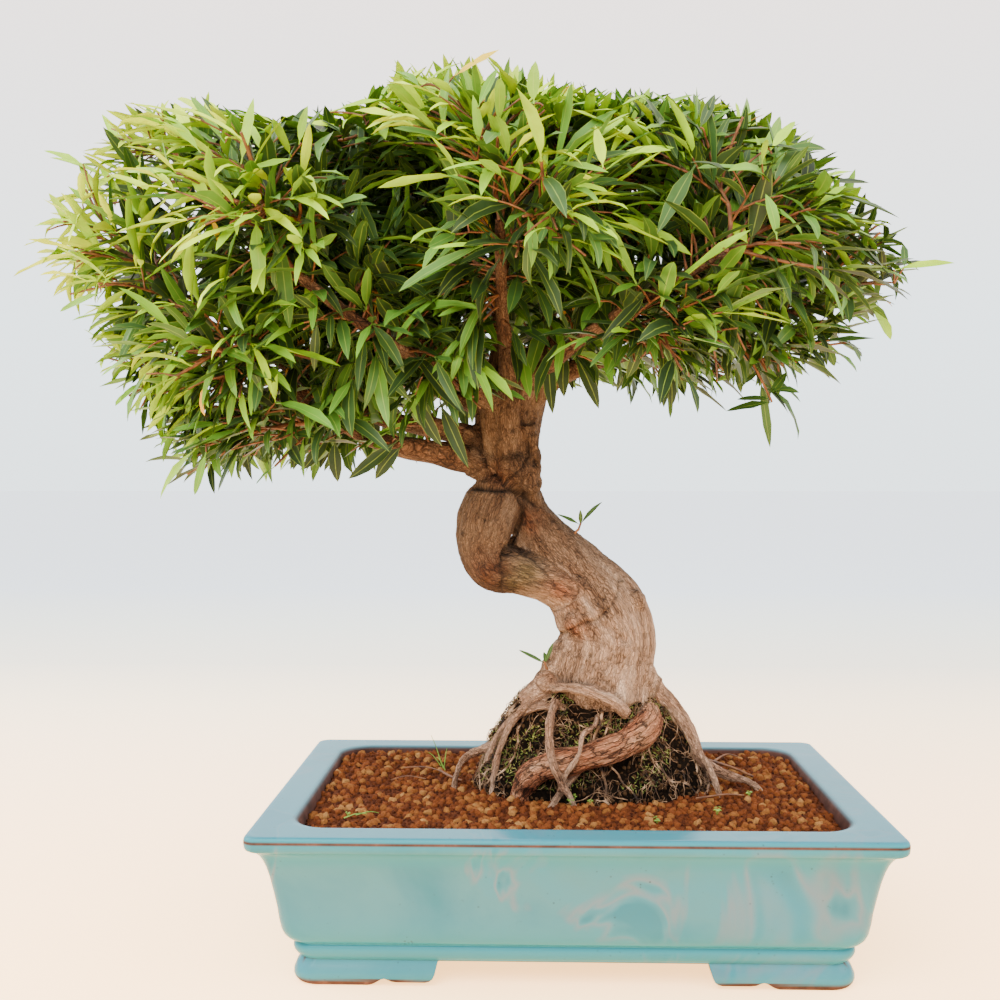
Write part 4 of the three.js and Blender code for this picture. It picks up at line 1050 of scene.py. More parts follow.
def cutAway(piece, other, operation="DIFFERENCE"):
    tool = piece.modifiers.new("cut", "BOOLEAN")
    tool.operation = operation
    tool.object = other
    tool.solver = "EXACT"
    applyModifiers(piece)
    bpy.data.objects.remove(other)


def footCutter(edge, turned):
    # the space under the band along one side, as a long block with a shaped top
    reach, drop = 260.0, -10.0
    shape = [(-x, z) for x, z in reversed(edge)] + list(edge) + [(reach, edge[-1][1]), (reach, drop)]
    shape += [(-reach, drop), (-reach, edge[-1][1])]
    block = []
    for y in (-reach, reach):
        block.append([(x, y, z) if not turned else (-y, x, z) for x, z in shape])
    count = len(shape)
    faces = [(i, (i + 1) % count, count + (i + 1) % count, count + i) for i in range(count)]
    faces += [tuple(range(count - 1, -1, -1)), tuple(range(count, 2 * count))]
    return placeMesh("cutter", np.array(block[0] + block[1]), faces, smooth=False)


def makePot():
    heights, corners = zip(*pot["corner"])
    rings = [potRing(half, z, np.interp(z, heights, corners)) for z, half in pot["outside"]]
    rings += [potRing(half, z, pot["insideCorner"] * min(1, (half - 130) / 30)) for z, half in pot["inside"]]
    piece = placeMesh("glazed_pot", *skinRings(rings))
    outer = [potRing(half, z, 14) for z, half in pot["footOutside"]]
    inner = [potRing(half - pot["footWall"], z, 7) for z, half in reversed(pot["footOutside"])]
    points, faces = skinRings(outer + inner + [outer[0]])
    sides = len(outer[0])
    count = len(outer + inner)
    faces = [tuple(i - count * sides if count * sides <= i < (count + 1) * sides else i for i in face)
             for face in faces if len(face) == 4]
    band = placeMesh("foot_band", points[:count * sides], faces)
    cutAway(band, footCutter(frontFoot, False))
    cutAway(band, footCutter(sideFoot, True))
    for side in (-1, 1):
        ring = np.array([(math.cos(a), math.sin(a), 0) for a in np.arange(40) / 40 * 2 * math.pi])
        hole = [ring * pot["drainRadius"] + (side * pot["drainAt"], 0, z) for z in (5, 40)]
        cutAway(piece, placeMesh("drain", *skinRings(hole)))
    cutAway(piece, band, "UNION")
    soften = piece.modifiers.new("soft_edges", "BEVEL")
    soften.width = pot["edgeSoftness"] * mm
    soften.segments = 2
    soften.angle_limit = math.radians(50)
    applyModifiers(piece)
    mesh = piece.data
    mesh.polygons.foreach_set("use_smooth", [True] * len(mesh.polygons))
    mesh.set_sharp_from_angle(angle=math.radians(40))
    markBare(mesh)
    finishPiece(piece, "glaze", "pot", material=glazedStoneware)


def markBare(mesh):
    # the clay shows inside below the rim, under the pot, and in a line on its outer edges;
    # the glaze pooled in the groove, under the rim and along the band
    points, normals = pointsOf(mesh)
    x, y, z = points.T
    half = np.maximum(np.abs(x), np.abs(y) + pot["depthLess"])
    # the same with the corners' rounding taken off
    apart, r = np.abs(x) - np.abs(y) - pot["depthLess"], pot["insideCorner"]
    bent = np.sqrt(np.maximum(2 * r * r - apart ** 2, 0)) / 2
    opening = np.where(np.abs(apart) < r, (np.abs(x) + np.abs(y) + pot["depthLess"]) / 2 - bent + r, half)
    heights, walls = zip(*pot["outside"])
    rim, line, hollow, floor, feet = (pot[key] for key in ("edgeLine", "innerLine", "bareInside", "bareUnder",
                                                          "bareFoot"))
    inside = (half < hollow["within"]) & (z > hollow["from"]) & (z < hollow["to"])
    inside &= half < np.interp(z, heights, walls) - hollow["wall"]
    edge = np.exp(-((z - rim["at"]) / rim["reach"]) ** 4) * (half > rim["beyond"])
    inner = 0.7 * shareOver(z, line["above"], line["over"])
    inner *= shareOver(-opening, -line["within"], line["across"])
    under = (normals[:, 2] < feet["facing"]) & (z < feet["band"])
    foot = np.maximum(shareOver(-z, -feet["below"], feet["over"]), np.where(under, 1.0, 0.0))
    bare = np.maximum.reduce([np.where(inside, 1.0, 0.0), edge, inner, foot])
    bare = np.where((half < floor["within"]) & (z < floor["below"]), 1.0, bare)
    pooled = sum(deep * np.exp(-((z - height) / wide) ** 2) for height, wide, deep in pot["pools"])
    for key, values in (("bare", bare), ("pooled", np.minimum(pooled, 1))):
        keepOn(mesh, key, values)


def makeScreens():
    tree, add, given = newNodeGroup("netting", Bars=13, Length=0.036, Width=0.0012, Thick=0.0006,
                                    Material=bpy.types.Material)
    pitch = add("Math", {0: given["Length"], 1: given["Bars"]}, operation="DIVIDE")
    half = add("Math", {0: given["Length"], 1: -0.5}, operation="MULTIPLY")
    edge = add("Math", {0: pitch, 1: 0.5, 2: half}, operation="MULTIPLY_ADD")
    layers = []
    for axis in (0, 1):
        size = add("CombineXYZ", {axis: given["Length"], 1 - axis: given["Width"], 2: given["Thick"]})
        bar = add("GeometryNodeMeshCube", {"Size": size})
        start = add("CombineXYZ", {1 - axis: edge})
        step = add("CombineXYZ", {1 - axis: pitch})
        row = add("GeometryNodeMeshLine", {"Count": given["Bars"], "Start Location": start,
                                           "Offset": step})
        bars = add("GeometryNodeInstanceOnPoints", {"Points": row, "Instance": bar})
        lift = add("Math", {0: given["Thick"], 1: 0.45 * (1 if axis else -1)}, operation="MULTIPLY")
        height = add("CombineXYZ", {2: lift})
        layers.append(add("GeometryNodeTransform", {"Geometry": bars, "Translation": height}))
    finishNodeGroup(add, add("GeometryNodeJoinGeometry", {0: layers}), given["Material"])
    for number in (1, 2):
        low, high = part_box(f"drain_screen_{number}")
        piece = addObject(f"drain_netting_{number}", bpy.data.meshes.new("netting"))
        runNodes(piece, tree, Bars=pot["screenBars"], Length=high.x - low.x, Thick=(high.z - low.z) * 0.52,
                 Material=mouldedNetting)
        piece.data.transform(Matrix.Translation((low + high) / 2))
        finishPiece(piece, "screen", f"drain_screen_{number}")


soil = {"edge": 91.5, "rise": 5.0, "relief": 1.4, "hump": (165.0, 100.0), "under": 2.2, "inset": 0.5,
        "backRise": 6.0, "spacing": 3.1, "sizeLeast": 0.36, "sizeMost": 1.25, "grain": 3.2, "shapes": 9,
        "bedTint": 0.45}


def soilHeight(x, y):
    away = np.hypot((x - ballMiddle[0]) / soil["hump"][0], (y - ballMiddle[1]) / soil["hump"][1])
    wave = np.sin(x / 11 + y / 17) * np.cos(y / 9 - x / 23)
    behind = soil["backRise"] * np.clip((y - 10) / 75, 0, 1)
    return soil["edge"] + soil["rise"] * np.maximum(0, 1 - away) + soil["relief"] * wave + behind


def grainShapes(name, count, size, corners, seed, squash=(0.75, 1.0)):
    # a few angular crumbs, each the hull of scattered points, kept out of the scene for instancing
    shapes = bpy.data.collections.new(name)
    for number in range(count):
        body = bmesh.new()
        for i in range(corners):
            k = seed + number * 50 + i * 3
            spot = unit(np.array([drawAt(k) - 0.5, drawAt(k + 0.31) - 0.5, drawAt(k + 0.63) - 0.5]))
            spot *= np.array([1, squash[0] + (squash[1] - squash[0]) * drawAt(k + number), squash[0]])
            body.verts.new(Vector(spot * size * mm * (0.9 + 0.2 * drawAt(k + 0.9))))
        hull = bmesh.ops.convex_hull(body, input=body.verts)
        loose = [v for v in hull["geom_interior"] if isinstance(v, bmesh.types.BMVert)]
        bmesh.ops.delete(body, geom=loose, context="VERTS")
        bmesh.ops.recalc_face_normals(body, faces=body.faces)
        mesh = bpy.data.meshes.new(f"{name}_{number}")
        body.to_mesh(mesh)
        body.free()
        mesh.polygons.foreach_set("use_smooth", [True] * len(mesh.polygons))
        shapes.objects.link(bpy.data.objects.new(f"{name}_{number}", mesh))
    return shapes


def turnOutwards(mesh):
    body = bmesh.new()
    body.from_mesh(mesh)
    bmesh.ops.recalc_face_normals(body, faces=body.faces)
    body.to_mesh(mesh)
    body.free()


def dropShapes(shapes):
    for shape in list(shapes.objects):
        bpy.data.objects.remove(shape)
    bpy.data.collections.remove(shapes)


def scatterTree(name):
    # crumbs of a collection strewn over the faces marked "strewn", joined to the bed below
    tree, add, given = newNodeGroup(name, Shapes=bpy.types.Collection, Spacing=0.004, Least=0.7, Most=1.3,
                                    Seed=1, Material=bpy.types.Material)
    marked = add("GeometryNodeInputNamedAttribute", {"Name": "strewn"}, data_type="BOOLEAN")
    spots = add("GeometryNodeDistributePointsOnFaces", {"Mesh": given["Geometry"], "Selection": marked,
                                                        "Distance Min": given["Spacing"],
                                                        "Density Max": 200000.0, "Seed": given["Seed"]},
                distribute_method="POISSON")
    shapes = add("GeometryNodeCollectionInfo", {0: given["Shapes"], "Separate Children": True,
                                                "Reset Children": True})
    turn = add("FunctionNodeRandomValue", {1: (6.28, 6.28, 6.28), "Seed": given["Seed"]},
               data_type="FLOAT_VECTOR")
    size = add("FunctionNodeRandomValue", {2: given["Least"], 3: given["Most"], "Seed": given["Seed"]},
               data_type="FLOAT")
    strewn = add("GeometryNodeInstanceOnPoints",
                 {"Points": spots, "Instance": shapes, "Pick Instance": True, "Rotation": turn,
                  "Scale": size})
    tint = add("FunctionNodeRandomValue", {"Seed": given["Seed"]}, data_type="FLOAT")
    tinted = add("GeometryNodeStoreNamedAttribute", {"Geometry": strewn, "Name": "tint", "Value": tint},
                 data_type="FLOAT", domain="INSTANCE")
    finishNodeGroup(add, add("GeometryNodeJoinGeometry", {0: [given["Geometry"], tinted]}), given["Material"])
    return tree


def makeSoil(scatter):
    rings = []
    for z, half in reversed(pot["inside"]):
        if z < soil["edge"] - soil["under"]:
            rings.append(potRing(half - soil["inset"], max(z, 26.0),
                                 pot["insideCorner"] * min(1, (half - 130) / 30)))
    half = 172.7 - soil["inset"]
    top = potRing(half, 0, 24)
    shares = np.linspace(1, 0.02, 44)
    for share in shares:
        ring = top * [share, share, 0]
        ring[:, 2] = soilHeight(ring[:, 0], ring[:, 1]) - soil["under"]
        rings.append(ring)
    piece = placeMesh("akadama_soil", *skinRings(rings), smooth=False)
    strewn = [p.normal.z > 0.7 and p.center.z > 0.08 for p in piece.data.polygons]
    keepOn(piece.data, "strewn", strewn, "BOOLEAN", "FACE")
    keepOn(piece.data, "tint", np.full(len(piece.data.vertices), soil["bedTint"]))
    shapes = grainShapes("granule", soil["shapes"], soil["grain"], 17, 4000, (0.8, 1.0))
    runNodes(piece, scatter, Shapes=shapes, Spacing=soil["spacing"] * mm, Least=soil["sizeLeast"],
             Most=soil["sizeMost"], Seed=3, Material=akadama)
    dropShapes(shapes)
    finishPiece(piece, "soil", "soil")


ball = {
    "rings": [(62, 82, 50), (90, 89, 58), (112, 80, 51), (136, 68, 43), (156, 53, 34), (170, 36, 25)],
    # how far the front and back stand out under the trunk's base
    "bulge": [(90, 0), (112, 2), (136, 6), (156, 11), (170, 12)],
    "sides": 112, "rows": 56, "lumps": 4.2, "crumbs": 2.6, "spacing": 2.5, "grain": 1.7, "shapes": 6,
    "rootStep": 2.2,
    # count, steps, least and most radius, how much they wander, how high they stand off
    "rootKinds": [(12, 40, 0.7, 1.6, 0.5, 0.6), (80, 22, 0.24, 0.6, 0.9, 1.1),
                  (2000, 7, 0.12, 0.32, 1.7, 2.0)],
    "mossSpacing": 1.7, "mossShapes": 5, "mossBlades": 6, "mossSize": 2.9,
}


def ballPoint(height, angle):
    z, halfX, halfY = zip(*ball["rings"])
    x = np.interp(height, z, halfX) - 2.0
    y = np.interp(height, z, halfY) - 2.0 + np.interp(height, *zip(*ball["bulge"])) * np.abs(np.sin(angle))
    return np.stack([ballMiddle[0] + x * np.cos(angle), ballMiddle[1] + y * np.sin(angle),
                     np.broadcast_to(height, np.shape(angle))], -1)


def makeRootBall(scatter):
    angle = np.arange(ball["sides"]) / ball["sides"] * 2 * math.pi
    rings = []
    heights = np.append(np.linspace(62, 168.5, ball["rows"]), 169.6)
    for z in heights:
        share = 0.93 if z == heights[-1] else 1.0
        ring = ballPoint(z, angle)
        ring[:, :2] = ballMiddle + (ring[:, :2] - ballMiddle) * share
        for i, spot in enumerate(ring):
            lump = (ball["lumps"] * noise.noise(Vector(spot * 0.05))
                    + ball["crumbs"] * noise.noise(Vector(spot * 0.16)))
            ring[i, :2] += unit(spot[:2] - ballMiddle) * lump
        rings.append(ring)
    piece = placeMesh("old_soil_ball", *skinRings(rings))
    strewn = [p.center.z > 0.085 for p in piece.data.polygons]
    keepOn(piece.data, "strewn", strewn, "BOOLEAN", "FACE")
    surface = BVHTree.FromPolygons([v.co / mm - Vector(potMiddle) for v in piece.data.vertices],
                                   [tuple(p.vertices) for p in piece.data.polygons])
    tufts = piece.data.copy()
    shapes = grainShapes("crumb", ball["shapes"], ball["grain"], 12, 7000)
    runNodes(piece, scatter, Shapes=shapes, Spacing=ball["spacing"] * mm, Least=0.4, Most=1.3, Seed=5,
             Material=oldSoil)
    dropShapes(shapes)
    finishPiece(piece, "old_soil", "root_ball")
    makeMoss(tufts, scatter)
    return surface


def makeMoss(bed, scatter):
    # tufts of a few blades, in patches on the old soil
    patch = [p.center.z > 0.1 and noise.noise(p.center * 38) > -0.08 for p in bed.polygons]
    bed.attributes["strewn"].data.foreach_set("value", patch)
    piece = addObject("moss_tufts", bed)
    shapes = bpy.data.collections.new("mossShapes")
    for number in range(ball["mossShapes"]):
        blades = []
        for i in range(ball["mossBlades"]):
            k = 600 + number * 31 + i * 3.1
            heading = unit(np.array([drawAt(k) - 0.5, drawAt(k + 1) - 0.5, drawAt(k + 2) - 0.5]))
            length = ball["mossSize"] * (0.6 + 0.6 * drawAt(k + 0.5))
            side = unit(np.cross(heading, [0.3, 0.2, 1])) * 0.42
            top = np.cross(heading, side)
            blades.append((np.array([side, top, -side, heading * length]),
                           [(0, 1, 2), (0, 3, 1), (1, 3, 2), (2, 3, 0)]))
        points, faces = joinedMeshes(blades)
        mesh = bpy.data.meshes.new(f"tuft_{number}")
        mesh.from_pydata((points * mm).tolist(), [], faces)
        shapes.objects.link(bpy.data.objects.new(f"tuft_{number}", mesh))
    runNodes(piece, scatter, Shapes=shapes, Spacing=ball["mossSpacing"] * mm, Least=0.5, Most=1.3, Seed=9,
             Material=moss)
    # only the tufts stay, without the bed they were strewn on
    body = bmesh.new()
    body.from_mesh(piece.data)
    body.verts.ensure_lookup_table()
    bedSize = ball["sides"] * (ball["rows"] + 1) + 2
    bmesh.ops.delete(body, geom=body.verts[:bedSize], context="VERTS")
    body.to_mesh(piece.data)
    body.free()
    dropShapes(shapes)
    finishPiece(piece, "leaf", "root_ball")


camera = {"at": (-25.0, -850.5, 318.2), "down": 1.29, "left": 1.56, "focal": 1210.0, "frame": 1000}


def cameraAxes():
    down, left = math.radians(camera["down"]), math.radians(camera["left"])
    right = np.array([math.cos(left), math.sin(left), 0])
    ahead = np.array([-math.sin(left) * math.cos(down), math.cos(left) * math.cos(down), -math.sin(down)])
    return right, np.cross(right, ahead), ahead


def photoPlace(point):
    # where a point falls in the photo's frame
    right, above, ahead = cameraAxes()
    offset = np.asarray(point) - camera["at"]
    scale = camera["focal"] / (offset @ ahead)
    return camera["frame"] / 2 + scale * (offset @ right), camera["frame"] / 2 - scale * (offset @ above)


leafForms = {
    "length": 50.0, "width": 8.0, "thick": 0.34, "petiole": 0.1, "petioleThick": 1.0, "fold": 0.34,
    "rise": 0.7, "fall": 0.92, "widest": 0.4, "wave": 0.2,
    "shares": (0.0, 0.12, 0.34, 0.62, 0.86),
    # arch, sideways sway, twist in turns
    "kinds": [(0.05, 0.03, 0.0), (0.12, -0.06, 0.03), (0.18, 0.07, -0.04), (0.25, 0.0, 0.06),
              (0.14, -0.1, -0.05), (0.36, 0.06, 0.03), (0.08, 0.13, 0.09),
              (0.46, -0.05, -0.08), (0.28, -0.04, 0.1)],
}


def leafShapes():
    # willow-like blades on a short stalk, along +X with their upper side towards +Z
    shapes = bpy.data.collections.new("leafShapes")
    long, wide, stalk = leafForms["length"], leafForms["width"], leafForms["petiole"]
    for number, (arch, sway, twist) in enumerate(leafForms["kinds"]):
        rings, spread = [], []
        for share in (0.0,) + tuple(stalk + (1 - stalk) * s for s in leafForms["shares"]):
            u = (share - stalk) / (1 - stalk)
            half = leafForms["petioleThick"] / 2
            if u > 0:
                widest = leafForms["widest"]
                swell = (u / widest) ** leafForms["rise"] * ((1 - u) / (1 - widest)) ** leafForms["fall"]
                half = max(half * 0.6, wide / 2 * swell)
            thick = leafForms["petioleThick"] / 2 if u <= 0 else leafForms["thick"] / 2
            bend = arch * share ** 2
            centre = np.array([long * (share - bend * share * 0.5), long * sway * share ** 2, -long * bend])
            tilt = math.atan(2 * arch * share)
            above = np.array([math.sin(tilt), 0, math.cos(tilt)])
            roll = 2 * math.pi * twist * share
            side = np.array([0, math.cos(roll), 0]) + above * math.sin(roll)
            lift = half * leafForms["fold"] if u > 0 else 0
            wave = half * leafForms["wave"] * math.sin(share * 11 + number * 2) if u > 0 else 0
            rings.append([centre + side * half + above * (lift + wave), centre + above * thick,
                          centre - side * half + above * (lift - wave), centre - above * thick * 1.4])
            spread.append(share)
        tip = np.array([long * (1 - arch * 0.5), long * sway, -long * arch])
        points = np.array([p for ring in rings for p in ring] + [tip])
        faces = [(0, 1, 2, 3)]
        for row in range(len(rings) - 1):
            low = row * 4
            faces += [(low + i, low + 4 + i, low + 4 + (i + 1) % 4, low + (i + 1) % 4) for i in range(4)]
        last = (len(rings) - 1) * 4
        faces += [(last + i, len(points) - 1, last + (i + 1) % 4) for i in range(4)]
        mesh = bpy.data.meshes.new(f"leaf_{number}")
        mesh.from_pydata((points * mm).tolist(), [], faces)
        across = [0.0, 0.5, 1.0, 0.5] * len(rings) + [0.5]
        along = [s for s in spread for i in range(4)] + [1.0]
        layer = mesh.uv_layers.new(name="UVMap")
        for loop in mesh.loops:
            layer.data[loop.index].uv = (along[loop.vertex_index], across[loop.vertex_index])
        turnOutwards(mesh)
        mesh.polygons.foreach_set("use_smooth", [True] * len(mesh.polygons))
        mesh.set_sharp_from_angle(angle=math.radians(75))
        shapes.objects.link(bpy.data.objects.new(f"leaf_{number}", mesh))
    return shapes


def leafTree():
    # one leaf at each point, turned and sized by the point's own attributes
    tree, add, given = newNodeGroup("leaf_placing", Shapes=bpy.types.Collection, Size=1.0, Roll=0.25, Seed=1,
                                    Material=bpy.types.Material)
    shapes = add("GeometryNodeCollectionInfo", {0: given["Shapes"], "Separate Children": True,
                                                "Reset Children": True})
    turn = add("GeometryNodeInputNamedAttribute", {"Name": "turn"}, data_type="FLOAT_VECTOR")
    scale = add("GeometryNodeInputNamedAttribute", {"Name": "size"}, data_type="FLOAT_VECTOR")
    kind = add("GeometryNodeInputNamedAttribute", {"Name": "kind"}, data_type="INT")
    sized = add("VectorMath", {0: scale, 3: given["Size"]}, operation="SCALE")
    turned = add("FunctionNodeEulerToRotation", {0: turn})
    leaves = add("GeometryNodeInstanceOnPoints", {"Points": given["Geometry"], "Instance": shapes,
                                                  "Pick Instance": True, "Instance Index": kind,
                                                  "Rotation": turned, "Scale": sized})
    low = add("Math", {0: given["Roll"], 1: -1.0}, operation="MULTIPLY")
    roll = add("FunctionNodeRandomValue", {2: low, 3: given["Roll"], "Seed": given["Seed"]},
               data_type="FLOAT")
    about = add("CombineXYZ", {0: roll})
    rolled = add("GeometryNodeRotateInstances",
                 {"Instances": leaves, "Rotation": about, "Local Space": True})
    finishNodeGroup(add, rolled, given["Material"])
    return tree


foliage = {
    "twigs": 11, "twigLeast": 34, "twigRange": 34, "twigDroop": 0.12, "lean": 0.55, "out": 0.8, "pull": 0.4,
    "sideTwigs": 2, "sideLeast": 18, "sideRange": 18, "bud": 8.0, "leafLeast": 32, "leafRange": 32,
    "broad": 0.19, "narrow": 0.06, "slimRange": 0.05, "inside": 8.0, "overCrown": 18.0, "endLeaves": 3,
    "thick": (1.0, 0.7), "sideThick": (0.75, 0.5), "spiral": 2.39996, "solidSlack": 9.0, "shootSlim": 0.85,
    "hang": 0.3, "rise": 0.45, "stray": 0.5, "warmShare": 0.008, "stalkMost": 22,
    "limbTwigs": 15, "limbTwigLeast": 18, "limbTwigRange": 24, "slack": 4.0,
    # twigs that close the crown's inside: the longest, then how many end in which box
    "fillMost": 66,
    "fill": [(190, (-250, -85, 345), (150, 60, 520)), (90, (-150, -55, 385), (-30, 65, 512)),
             (70, (10, -95, 425), (140, -35, 550)), (50, (-175, -92, 385), (-60, -38, 455))],
}
# the crown's outline from the front, in the plane of the trunk: across, and up
crownTop = [(-395, 480), (-383, 504), (-350, 545), (-328, 582), (-263, 590), (-225, 574), (-191, 572),
            (-150, 582), (-120, 608), (-56, 615), (-20, 600), (22, 590), (93, 584), (130, 576),
            (163, 567), (199, 532), (220, 512), (269, 474), (275, 460)]
crownBottom = [(-395, 470), (-366, 435), (-337, 385), (-301, 330), (-275, 300), (-240, 318), (-171, 313),
               (-115, 313), (-75, 345), (-50, 324), (-30, 365), (0, 378), (50, 364), (97, 366), (125, 372),
               (150, 343), (180, 352), (206, 395), (238, 425), (269, 466)]


# where the photo looks through the crown at the trunk and a limb: left, right, top, bottom
openViews = [(484, 512, 255, 352), (476, 546, 396, 500)]
# how light a leaf is, from young lime growth and from painted light and shade: shares, and the start and
# length in mm over which each grows
youthAndLightShares = {
    "old": 0.16, "rim": 0.07, "high": 0.72, "left": 0.82, "draw": 0.35, "rimDraw": 0.25,
    "highUp": (440, 110), "notRight": (-190, 200, 0.25), "leftward": (130, 160), "notLow": (340, 110),
    "outward": (-76, 42),
}


def seenAt(point):
    # where the camera sees a point in the plane of the trunk
    eye = np.array(camera["at"])
    offset = point - eye
    return eye + offset * (15 - eye[1]) / offset[1]


def inOutline(point, slack):
    # within the crown's outline as the photo's camera sees it
    seen = seenAt(point)
    low, high = (np.interp(seen[0], *zip(*edge)) for edge in (crownBottom, crownTop))
    return low - slack < seen[2] < high + slack and -395 - slack < seen[0] < 275 + slack


def leafIsFree(root, tip, seed):
    over = foliage["overCrown"] * drawAt(seed + 0.13) ** 2 - foliage["inside"]
    if outsideCrown(tip)[0] > over or (tip < boxLow + 2).any() or (tip > boxHigh - 2).any():
        return False
    if not inOutline(tip, foliage["slack"] * (drawAt(seed + 0.23) - 0.4)):
        return False
    for row in trunkLine[6:] + loopLine:
        if min(norm(tip - row[:3]), norm((root + tip) / 2 - row[:3])) < row[3] + 4:
            return False
    if tip[1] < 12:
        x, y = photoPlace((root + tip) / 2)
        return not any(left < x < right and top < y < bottom for left, right, top, bottom in openViews)
    return True


def youthAndPaintedLight(root, seed):
    # the outermost leaves are young and light, the rest older and darker; painted light makes those high and
    # left lighter still, and painted shade keeps the crown's inside dark
    high = shareOver(root[2], *youthAndLightShares["highUp"]) * shareOver(-root[0], *youthAndLightShares["notRight"])
    left = shareOver(-root[0], *youthAndLightShares["leftward"]) * shareOver(root[2], *youthAndLightShares["notLow"])
    rim = shareOver(outsideCrown(root)[0], *youthAndLightShares["outward"])
    base = youthAndLightShares["old"] + rim * (youthAndLightShares["rim"] + youthAndLightShares["high"] * high + youthAndLightShares["left"] * left)
    return float(np.clip(base + (youthAndLightShares["draw"] + youthAndLightShares["rimDraw"] * rim) * (drawAt(seed) - 0.5), 0, 1))


def addLeaf(rows, root, heading, seed, least, reach, young=0.0):
    length = least + reach * drawAt(seed)
    facing = up + outwardAt(root) * 0.45 + np.array([drawAt(seed + 0.2) - 0.5, drawAt(seed + 0.4) - 0.5,
                                                     0]) * 0.7
    for shorter in (1.0, 0.78):
        tip = root + heading * length * shorter - up * length * shorter * 0.15
        if leafIsFree(root, tip, seed):
            # youth and painted light together set the leaf's tint
            fresh = min(1.0, youthAndPaintedLight(root, seed + 0.5) + young)
            slim = foliage["broad"] - foliage["narrow"] * fresh + foliage["slimRange"] * (drawAt(seed
                                                                                                 + 0.3)
                                                                                          - 0.5)
            warm = 0.7 if drawAt(seed + 0.77) > 1 - foliage["warmShare"] else 0.0
            rows.append((root, heading, facing, length * shorter, length * slim,
                         int(9 * drawAt(seed + 0.6)) % 9, fresh, warm))
            return


def dressShoot(rows, curve, seed, first, least, reach):
    # leaves spiralling up a shoot and a rosette at its end
    length = lengthOf(curve)
    count = max(2, int(length * (1 - first) / foliage["bud"]))
    level = np.eye(3)[np.argmin(np.abs(unit(curve[-2] - curve[1])))]
    for step in range(count + foliage["endLeaves"]):
        atEnd = step >= count
        place = 1.0 if atEnd else first + (0.96 - first) * step / count
        along = alongOf(curve, place)
        side = unit(np.cross(along, level))
        across = np.cross(along, side)
        angle = seed + step * foliage["spiral"]
        out = side * math.cos(angle) + across * math.sin(angle)
        root = pointOn(curve, place)
        spread = 0.32 if atEnd else 0.4 + 0.28 * drawAt(seed + step * 0.37)
        rise = foliage["rise"] * shareOver(root[2], 470, 80)
        stray = np.array([drawAt(seed + step * 0.53 + k) - 0.5 for k in (0.1, 0.2, 0.3)]) * foliage["stray"]
        heading = along * (1 - spread) + out * spread + outwardAt(root) * 0.18 + up * rise + stray
        sink = foliage["hang"] * shareOver(-root[2], -455, 90)
        heading = unit(unit(heading) - up * sink)
        addLeaf(rows, root, heading, seed + step * 1.7, least, reach, 0.18 if atEnd else 0.0)


def keepSolidShoots(stem, number, rows, twigs):
    # the twigs and leaves of the solid spray, cut at the crown's outline
    for leaf in stem["leaves"] + [leaf for twig in stem["twigs"] for leaf in twig["leaves"]]:
        seed = 3000 + len(rows) * 1.3 + number * 77
        for shorter in (1.0, 0.75, 0.55):
            if inOutline(leaf["root"] + leaf["heading"] * leaf["length"] * shorter, foliage["solidSlack"]):
                rows.append((leaf["root"], leaf["heading"], leaf["facing"], leaf["length"] * shorter,
                             leaf["width"] * 0.85 * shorter, int(9 * drawAt(seed)) % 5,
                             youthAndPaintedLight(leaf["root"], seed + 0.5), 0.0))
                break
    for shoot in [stem] + stem["twigs"]:
        share = next(s for s in (1.0, 0.85, 0.7, 0.55, 0.4)
                     if s < 0.5 or inOutline(pointOn(shoot["curve"], s), -6))
        thick, thin = (radius * foliage["shootSlim"] for radius in shoot["thick"])
        twigs.append((curveOf(pointOn(shoot["curve"], np.linspace(0, share, 6))), thick, thin))


def addSideTwigs(rows, twigs, curve, outward, seed):
    for branch in range(foliage["sideTwigs"]):
        spot = 0.3 + 0.5 * branch / foliage["sideTwigs"] + 0.1 * drawAt(seed + branch)
        start, course = pointOn(curve, spot), alongOf(curve, spot)
        swing = unit(np.cross(course, up + outward * 0.3)) * (1 if branch % 2 else -1)
        course = unit(course * 0.6 + swing * 0.7 + up * (drawAt(seed + branch * 0.7) - 0.35) * 0.7)
        reach = foliage["sideLeast"] + foliage["sideRange"] * drawAt(seed + 0.9 + branch)
        finish = start + course * reach
        if outsideCrown(finish)[0] > -8 or not inOutline(finish, -8):
            continue
        fork = curveOf([start, (start + finish) / 2 + up * 1.2, finish])
        twigs.append((fork, *foliage["sideThick"]))
        dressShoot(rows, fork, seed + 3.3 + branch * 2.9, 0.35, foliage["leafLeast"] * 0.88,
                   foliage["leafRange"])


def bushStem(stem, number, rows, twigs):
    # finer twigs and leaves between those of the solid spray
    keepSolidShoots(stem, number, rows, twigs)
    dressShoot(rows, stem["curve"], 7000 + number * 3.1, 0.3, foliage["leafLeast"], foliage["leafRange"])
    for step in range(foliage["twigs"]):
        seed = 5000 + number * 131.7 + step * 11.3
        place = 0.22 + 0.78 * (step + 0.5) / foliage["twigs"]
        root, along = pointOn(stem["curve"], place), alongOf(stem["curve"], place)
        outward = outwardAt(root)
        out = outFrom(stem, place, step * foliage["spiral"] + number)
        heading = unit(along * foliage["lean"] + out * foliage["out"] + outward * foliage["pull"])
        length = (foliage["twigLeast"] + foliage["twigRange"] * drawAt(seed)) * (1.15 - 0.4 * place)
        for shorter in (1.0, 0.7, 0.45):
            end = root + heading * length * shorter - up * length * shorter * foliage["twigDroop"]
            if outsideCrown(end)[0] < -14 and inOutline(end, -10):
                break
        else:
            continue
        middle = (root + end) / 2 + up * length * 0.05 + outFrom(stem, place, seed) * length * 0.05
        curve = curveOf([root, middle, end])
        twigs.append((curve, *foliage["thick"]))
        dressShoot(rows, curve, seed, 0.2, foliage["leafLeast"], foliage["leafRange"])
        addSideTwigs(rows, twigs, curve, outward, seed)


